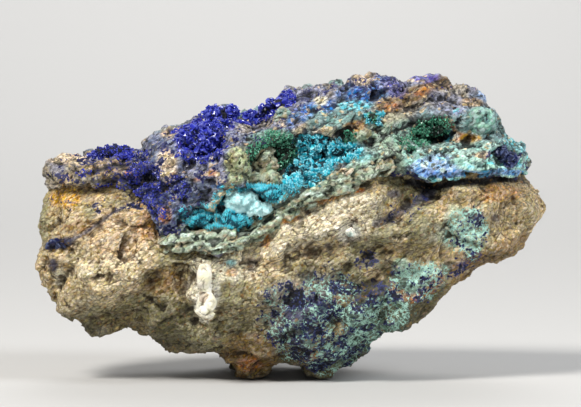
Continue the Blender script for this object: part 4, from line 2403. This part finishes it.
HOST_RELIEF = {
    "Chunk Size": 6.0, "Chunk Height": 0.5, "Flake Size": 2.4, "Flake Height": 0.22,
    "Grain Size": 0.95, "Grain Height": 0.14,
}
CRUST_RELIEF = {
    "Chunk Size": 4.0, "Chunk Height": 0.5, "Flake Size": 1.8, "Flake Height": 0.5,
    "Grain Size": 0.95, "Grain Height": 0.35, "Knob Size": 1.7, "Knob Height": 0.6,
    "Bead Size": 0.9, "Bead Height": 0.4,
}
HOST_ROCK = RockFinish(
    "Host rock", grain=0.42, contrast=0.85, bump=1.0, depth=0.9, blue_tints=(Tint.DEEP_BLUE, Tint.BLACK_NAVY)
)
COPPER_CRUST = RockFinish(
    "Copper crust", grain=0.55, contrast=1.0, blue_size=0.8, blue_tints=(Tint.ULTRAMARINE_DEEP, Tint.NAVY),
    dirt=(0.05, 0.05, 0.06, 1.0), bump=1.0, depth=0.95,
    dark_grain=Tint.BLACK_NAVY, dark_share=0.13, pale_grain=Tint.TAN, pale_share=0.08,
)
MALACHITE = RockFinish(
    "Malachite crust", grain=0.5, contrast=0.6, dirt=(0.03, 0.06, 0.055, 1.0), roughness=0.7, depth=0.95,
    dark_grain=Tint.DARK_GREEN, dark_share=0.06,
)
AZURITE = CrystalFinish(
    "Azurite", Tint.BLACK_NAVY, Tint.ULTRAMARINE_DEEP, Tint.ULTRAMARINE, Tint.BLUE_GLINT, 0.7, 0.22, grain=1.6
)
AZURITE_DEEP = CrystalFinish(
    "Deep azurite", Tint.BLACK_NAVY, Tint.NAVY, Tint.ULTRAMARINE, Tint.BLUE_GLINT, 0.6, 0.25, grain=1.4
)
AZURITE_DARK = CrystalFinish(
    "Dark azurite", Tint.BLACK_NAVY, Tint.BLACK_NAVY, Tint.NAVY, Tint.BLUE_GREY, 0.6, 0.3, grain=1.2
)
BROCHANTITE = CrystalFinish(
    "Brochantite", Tint.DEEP_TEAL, Tint.TEAL, Tint.TURQUOISE, Tint.SILK, 0.7, 0.45, grain=2.0, crown=1.5
)
FIBROUS = CrystalFinish(
    "Fibrous brochantite", Tint.TEAL_DARK, Tint.TEAL_BRIGHT, Tint.AQUA_BRIGHT, Tint.SILK, 0.7, 0.4, grain=0.9
)
SILKY = CrystalFinish(
    "Silky brochantite", Tint.SILK, Tint.SILK, Tint.SILK, Tint.SILK, 1.0, 0.4, grain=1.0, crown=0.0
)
DEEP = CrystalFinish(
    "Deep brochantite", Tint.DARK_GREEN, Tint.EMERALD, Tint.MALACHITE_GREEN, Tint.JADE, 0.9, 0.25,
    grain=1.8, crown=1.6,
)
QUARTZ = RockFinish("Milky quartz", grain=1.2, contrast=0.25, depth=0.6, roughness=0.5, bump=0.5)

BLADE = Blade("azurite_blade", length=0.55, width=0.7, thickness=0.3)
SPRAY = Spray("brochantite_spray", length=1.2, width=0.32, count=6, spread=0.75, seed=3)
STUB = Spray("brochantite_stub", length=1.0, width=0.5, count=5, spread=0.9, seed=5)
FIBRE = Spray("brochantite_fibre", length=1.5, width=0.18, count=7, spread=0.45, seed=7)
GRAIN = Chip("rock_grain", length=0.8, width=0.5, seed=11)

AZURITE_GROWTH = Growth(BLADE, 0.26, 9.0, 0.4, 1.9, lean=1.2, sunk=0.12, seed=3)
SPRAY_GROWTH = Growth(SPRAY, 0.42, 4.0, 0.5, 1.4, lean=0.9, sunk=0.12, seed=5)
STUB_GROWTH = Growth(STUB, 0.26, 8.0, 0.25, 0.8, lean=1.2, sunk=0.14, seed=6)
FIBRE_GROWTH = Growth(FIBRE, 0.2, 10.0, 0.25, 0.8, lean=0.9, sunk=0.12, seed=7)
SILK_GROWTH = Growth(FIBRE, 0.22, 9.0, 0.15, 0.6, lean=0.9, sunk=0.1, seed=8)
FINE_GROWTH = Growth(BLADE, 0.2, 8.0, 0.3, 0.9, lean=1.2, sunk=0.1, seed=16)
RIDGE_GROWTH = Growth(BLADE, 0.16, 16.0, 0.25, 0.7, lean=1.0, sunk=0.08, seed=4)
COAT_GROWTH = Growth(BLADE, 0.25, 8.0, 0.4, 1.1, lean=1.2, sunk=0.1, seed=15)

HOST_GRAIN_GROWTH = Growth(GRAIN, 0.35, 1.4, 0.4, 1.1, lean=3.0, sunk=0.16, seed=13)
CRUST_GRAIN_GROWTH = Growth(GRAIN, 0.3, 2.2, 0.35, 1.0, lean=3.0, sunk=0.1, seed=14)

HOST_GRAINS = Coating("rock_grains", "host_rock", HOST_GRAIN_GROWTH, HOST_ROCK)
CRUST_GRAINS = Coating("crust_grains", "mineral_crust", CRUST_GRAIN_GROWTH, COPPER_CRUST)
CRUST_COATINGS = (
    (Coating("azurite_coating", "azurite", COAT_GROWTH, AZURITE), DRUSE_ZONES),
    (Coating("azurite_fine_coating", "azurite", FINE_GROWTH, AZURITE_DEEP), DEEP_ZONES),
    (Coating("brochantite_spray_coating", "brochantite", SPRAY_GROWTH, BROCHANTITE), TUFT_ZONES),
    (
        Coating("brochantite_felt_left", "brochantite", FIBRE_GROWTH, FIBROUS, (-15.0, 25.0), 6.0),
        FELT_ZONES_LEFT,
    ),
    (
        Coating("brochantite_felt_lower", "brochantite", FIBRE_GROWTH, FIBROUS, (-5.0, 30.0), 6.0),
        FELT_ZONES_LOWER,
    ),
    (Coating("brochantite_silk", "silky_brochantite", SILK_GROWTH, SILKY, (-4.0, 28.0), 5.0), SILK_ZONES),
    (Coating("brochantite_deep_coating", "deep_brochantite", STUB_GROWTH, DEEP), GREEN_ZONES),
)

CLUSTERS = (
    *(
        Cluster(
            f"azurite_druse_{name}", "azurite", shrink=shrink, knob=knob, knob_height=height, knobby=0.4,
            finish=AZURITE, growth=AZURITE_GROWTH,
        )
        for name, shrink, knob, height in (
            ("main", 0.5, 2.4, 1.1), ("peak", 0.5, 2.4, 1.1),
            ("saddle", 0.4, 2.0, 0.9), ("slope", 0.4, 2.0, 0.9),
        )
    ),
    Cluster(
        "azurite_druse_left_ridge", "azurite", shrink=0.2, knob=2.0, knob_height=0.4, knobby=0.4, rugged=1.6,
        finish=AZURITE, growth=RIDGE_GROWTH,
    ),
    Cluster(
        "azurite_druse_left_pocket", "dark_azurite", shrink=0.4, knob=2.0, knob_height=0.9, knobby=0.4,
        finish=AZURITE_DARK, growth=AZURITE_GROWTH,
    ),
    Cluster(
        "azurite_knots_right_pocket", "dark_azurite", shrink=0.2, knob=1.8, knob_height=0.9,
        finish=AZURITE_DARK, growth=AZURITE_GROWTH,
    ),
    *(
        Cluster(
            f"brochantite_fan_{name}", "brochantite", shrink=shrink, rugged=3.2, gaps=0.2, finish=FIBROUS,
            growth=FIBRE_GROWTH, focus=focus, sweep=6.0,
        )
        for name, shrink, focus in (
            ("left", 0.3, (-17.5, 27.0)), ("middle", 0.3, (-14.5, 27.0)), ("lower", 0.4, (-5.0, 30.0)),
        )
    ),
    Cluster(
        "brochantite_silky_patch", "silky_brochantite", shrink=0.1, forward=1.6, knob=0.9, knob_height=0.8,
        rugged=5.0, gaps=0.0, finish=SILKY, growth=SILK_GROWTH, focus=(-4.0, 28.0), sweep=5.0,
    ),
    *(
        Cluster(
            f"brochantite_{name}", "brochantite", shrink=shrink, knob=knob, knob_height=height,
            finish=BROCHANTITE, growth=SPRAY_GROWTH,
        )
        for name, shrink, knob, height in (
            ("tuft_low", 0.8, 2.6, 1.5), ("tufts_centre", 0.8, 2.6, 1.5),
            ("tufts_upper", 0.7, 2.4, 1.4), ("tufts_right", 0.7, 2.4, 1.4),
        )
    ),
    *(
        Cluster(
            f"brochantite_{name}", "deep_brochantite", shrink=shrink, rugged=rugged, finish=DEEP,
            growth=STUB_GROWTH,
        )
        for name, shrink, rugged in (
            ("prisms_back", 0.6, 4.0), ("prism_small", 0.3, 2.4), ("knob_teal", 0.3, 2.4),
            ("prisms_green", 1.2, 4.0),
        )
    ),
)

NODULES = (
    *(
        Nodule(
            f"malachite_nodule_{name}", "nodule", shrink=shrink, forward=forward, finish=MALACHITE,
            tints=tints,
        )
        for name, shrink, forward, tints in (
            ("beige", -0.7, 1.2, (Tint.GREY_BROWN, Tint.SAGE)),
            ("ledge", -0.5, 2.0, (Tint.OLIVE, Tint.SAGE)),
            ("pale", 0.0, 0.0, (Tint.OLIVE, Tint.YELLOW_GREEN)),
            ("pink", 0.0, 0.0, (Tint.PEACH, Tint.MINT_WHITE)),
            ("olive", 0.0, 0.0, (Tint.OLIVE, Tint.SAGE)),
            ("grey", 0.0, 0.0, (Tint.GREY_BROWN, Tint.AQUA_GREY)),
        )
    ),
    Nodule(
        "chrysocolla_nodule_large", "chrysocolla", shrink=-0.9, forward=1.6, rugged=0.9, knob=0.9,
        knob_height=0.22, finish=MALACHITE, tints=(Tint.AQUA_GREY, Tint.MINT_DEEP), specks=0.3,
    ),
    Nodule("chrysocolla_nodule_small", "chrysocolla", finish=MALACHITE, tints=(Tint.AQUA_GREY, Tint.CYAN)),
    Nodule(
        "quartz_chip", "quartz", shrink=-0.2, forward=-0.8, rugged=0.7, knob=2.4, knob_height=0.1, knobby=0.0,
        facets=0.05, finish=QUARTZ, tints=(Tint.PALE, Tint.WHITE),
    ),
    Nodule(
        "quartz_eye", "quartz", shrink=-0.2, forward=-2.2, knob_height=0.2, knobby=0.0, facets=0.08,
        finish=QUARTZ, tints=(Tint.WHITE, Tint.AQUA_GREY),
    ),
)

SHEETS = (
    LipSheets(
        "malachite_lip_sheets", "nodule", MALACHITE, LIP,
        sheets=((-1.5, 0.7, 1.4), (-0.1, 1.5, 1.6), (1.8, 1.8, 1.2)),
        tints=(Tint.GREY_BROWN, Tint.SAGE, Tint.MINT_WHITE),
    ),
    LipSheets(
        "chrysocolla_shelf_sheets", "chrysocolla", MALACHITE, SHELF,
        sheets=((0.1, 1.3, 1.5), (1.4, 1.5, 1.1), (2.8, 1.5, 0.6)),
        tints=(Tint.AQUA_GREY, Tint.MINT, Tint.CYAN), stains=SHELF_STAINS, slab=(5.0, 12.0),
        swell=Swell(2.8, 0.7, 0.55), seed=71,
    ),
)


def rock_bodies() -> Piece:
    """Builds the host rock and the crust, with the grains and the coatings that grow on them.

    Returns:
        The crust.
    """
    host = HostRock(
        "matrix", HOST_ROCK, voxel=0.45, facets=0.012, swell=Swell(12.0, 9.5, 0.66), relief=HOST_RELIEF,
        span=1.1, dents=HOST_DENTS, notches=(), stains=HOST_STAINS, blue=HOST_BLUE, green=HOST_GREEN,
    ).build()
    place(host, "host_rock", "matrix")
    crust = Crust(
        "crust", COPPER_CRUST, voxel=0.43, facets=0.08, swell=Swell(7.0, 7.0, 0.63), relief=CRUST_RELIEF,
        span=0.8, dents=CRUST_DENTS, notches=CRUST_NOTCHES, stains=CRUST_STAINS, blue=CRUST_BLUE, green=(),
    ).build()
    place(crust, "mineral_crust", "crust")
    surface = Surface(host)
    patch = smooth_step(-0.2, 0.6, fractal_noise(surface.points / 4.0, 3, 61))
    amounts = (0.25 + 0.75 * patch) * (0.35 + 0.65 * surface.front) * smooth_step(0.6, 1.4, surface.z)
    HOST_GRAINS.build(host, amounts)
    surface = Surface(crust)
    patch = smooth_step(-0.4, 0.5, fractal_noise(surface.points / 3.0, 3, 62))
    open_ground = 1 - surface.cover_any([zone for _, zones in CRUST_COATINGS for zone in zones])
    CRUST_GRAINS.build(crust, (0.2 + 0.8 * patch) * (0.35 + 0.65 * surface.front) * open_ground)
    ragged = fractal_noise(surface.points / 1.8, 3, 63)
    for coating, zones in CRUST_COATINGS:
        cover = surface.cover_any(zones)
        coating.build(crust, smooth_step(0.3, 0.6, cover + 0.5 * ragged) * smooth_step(0.02, 0.2, cover))
    return crust


def main() -> None:
    """Builds every piece in order."""
    logging.basicConfig(level=logging.INFO, format="%(name)s: %(message)s")
    Studio().build()
    crust = rock_bodies()
    for sheets in SHEETS:
        place(sheets.build(crust), sheets.slot)
    for body in (*CLUSTERS, *NODULES):
        place(body.build(), body.slot, body.node)


if __name__ == "__main__":
    main()
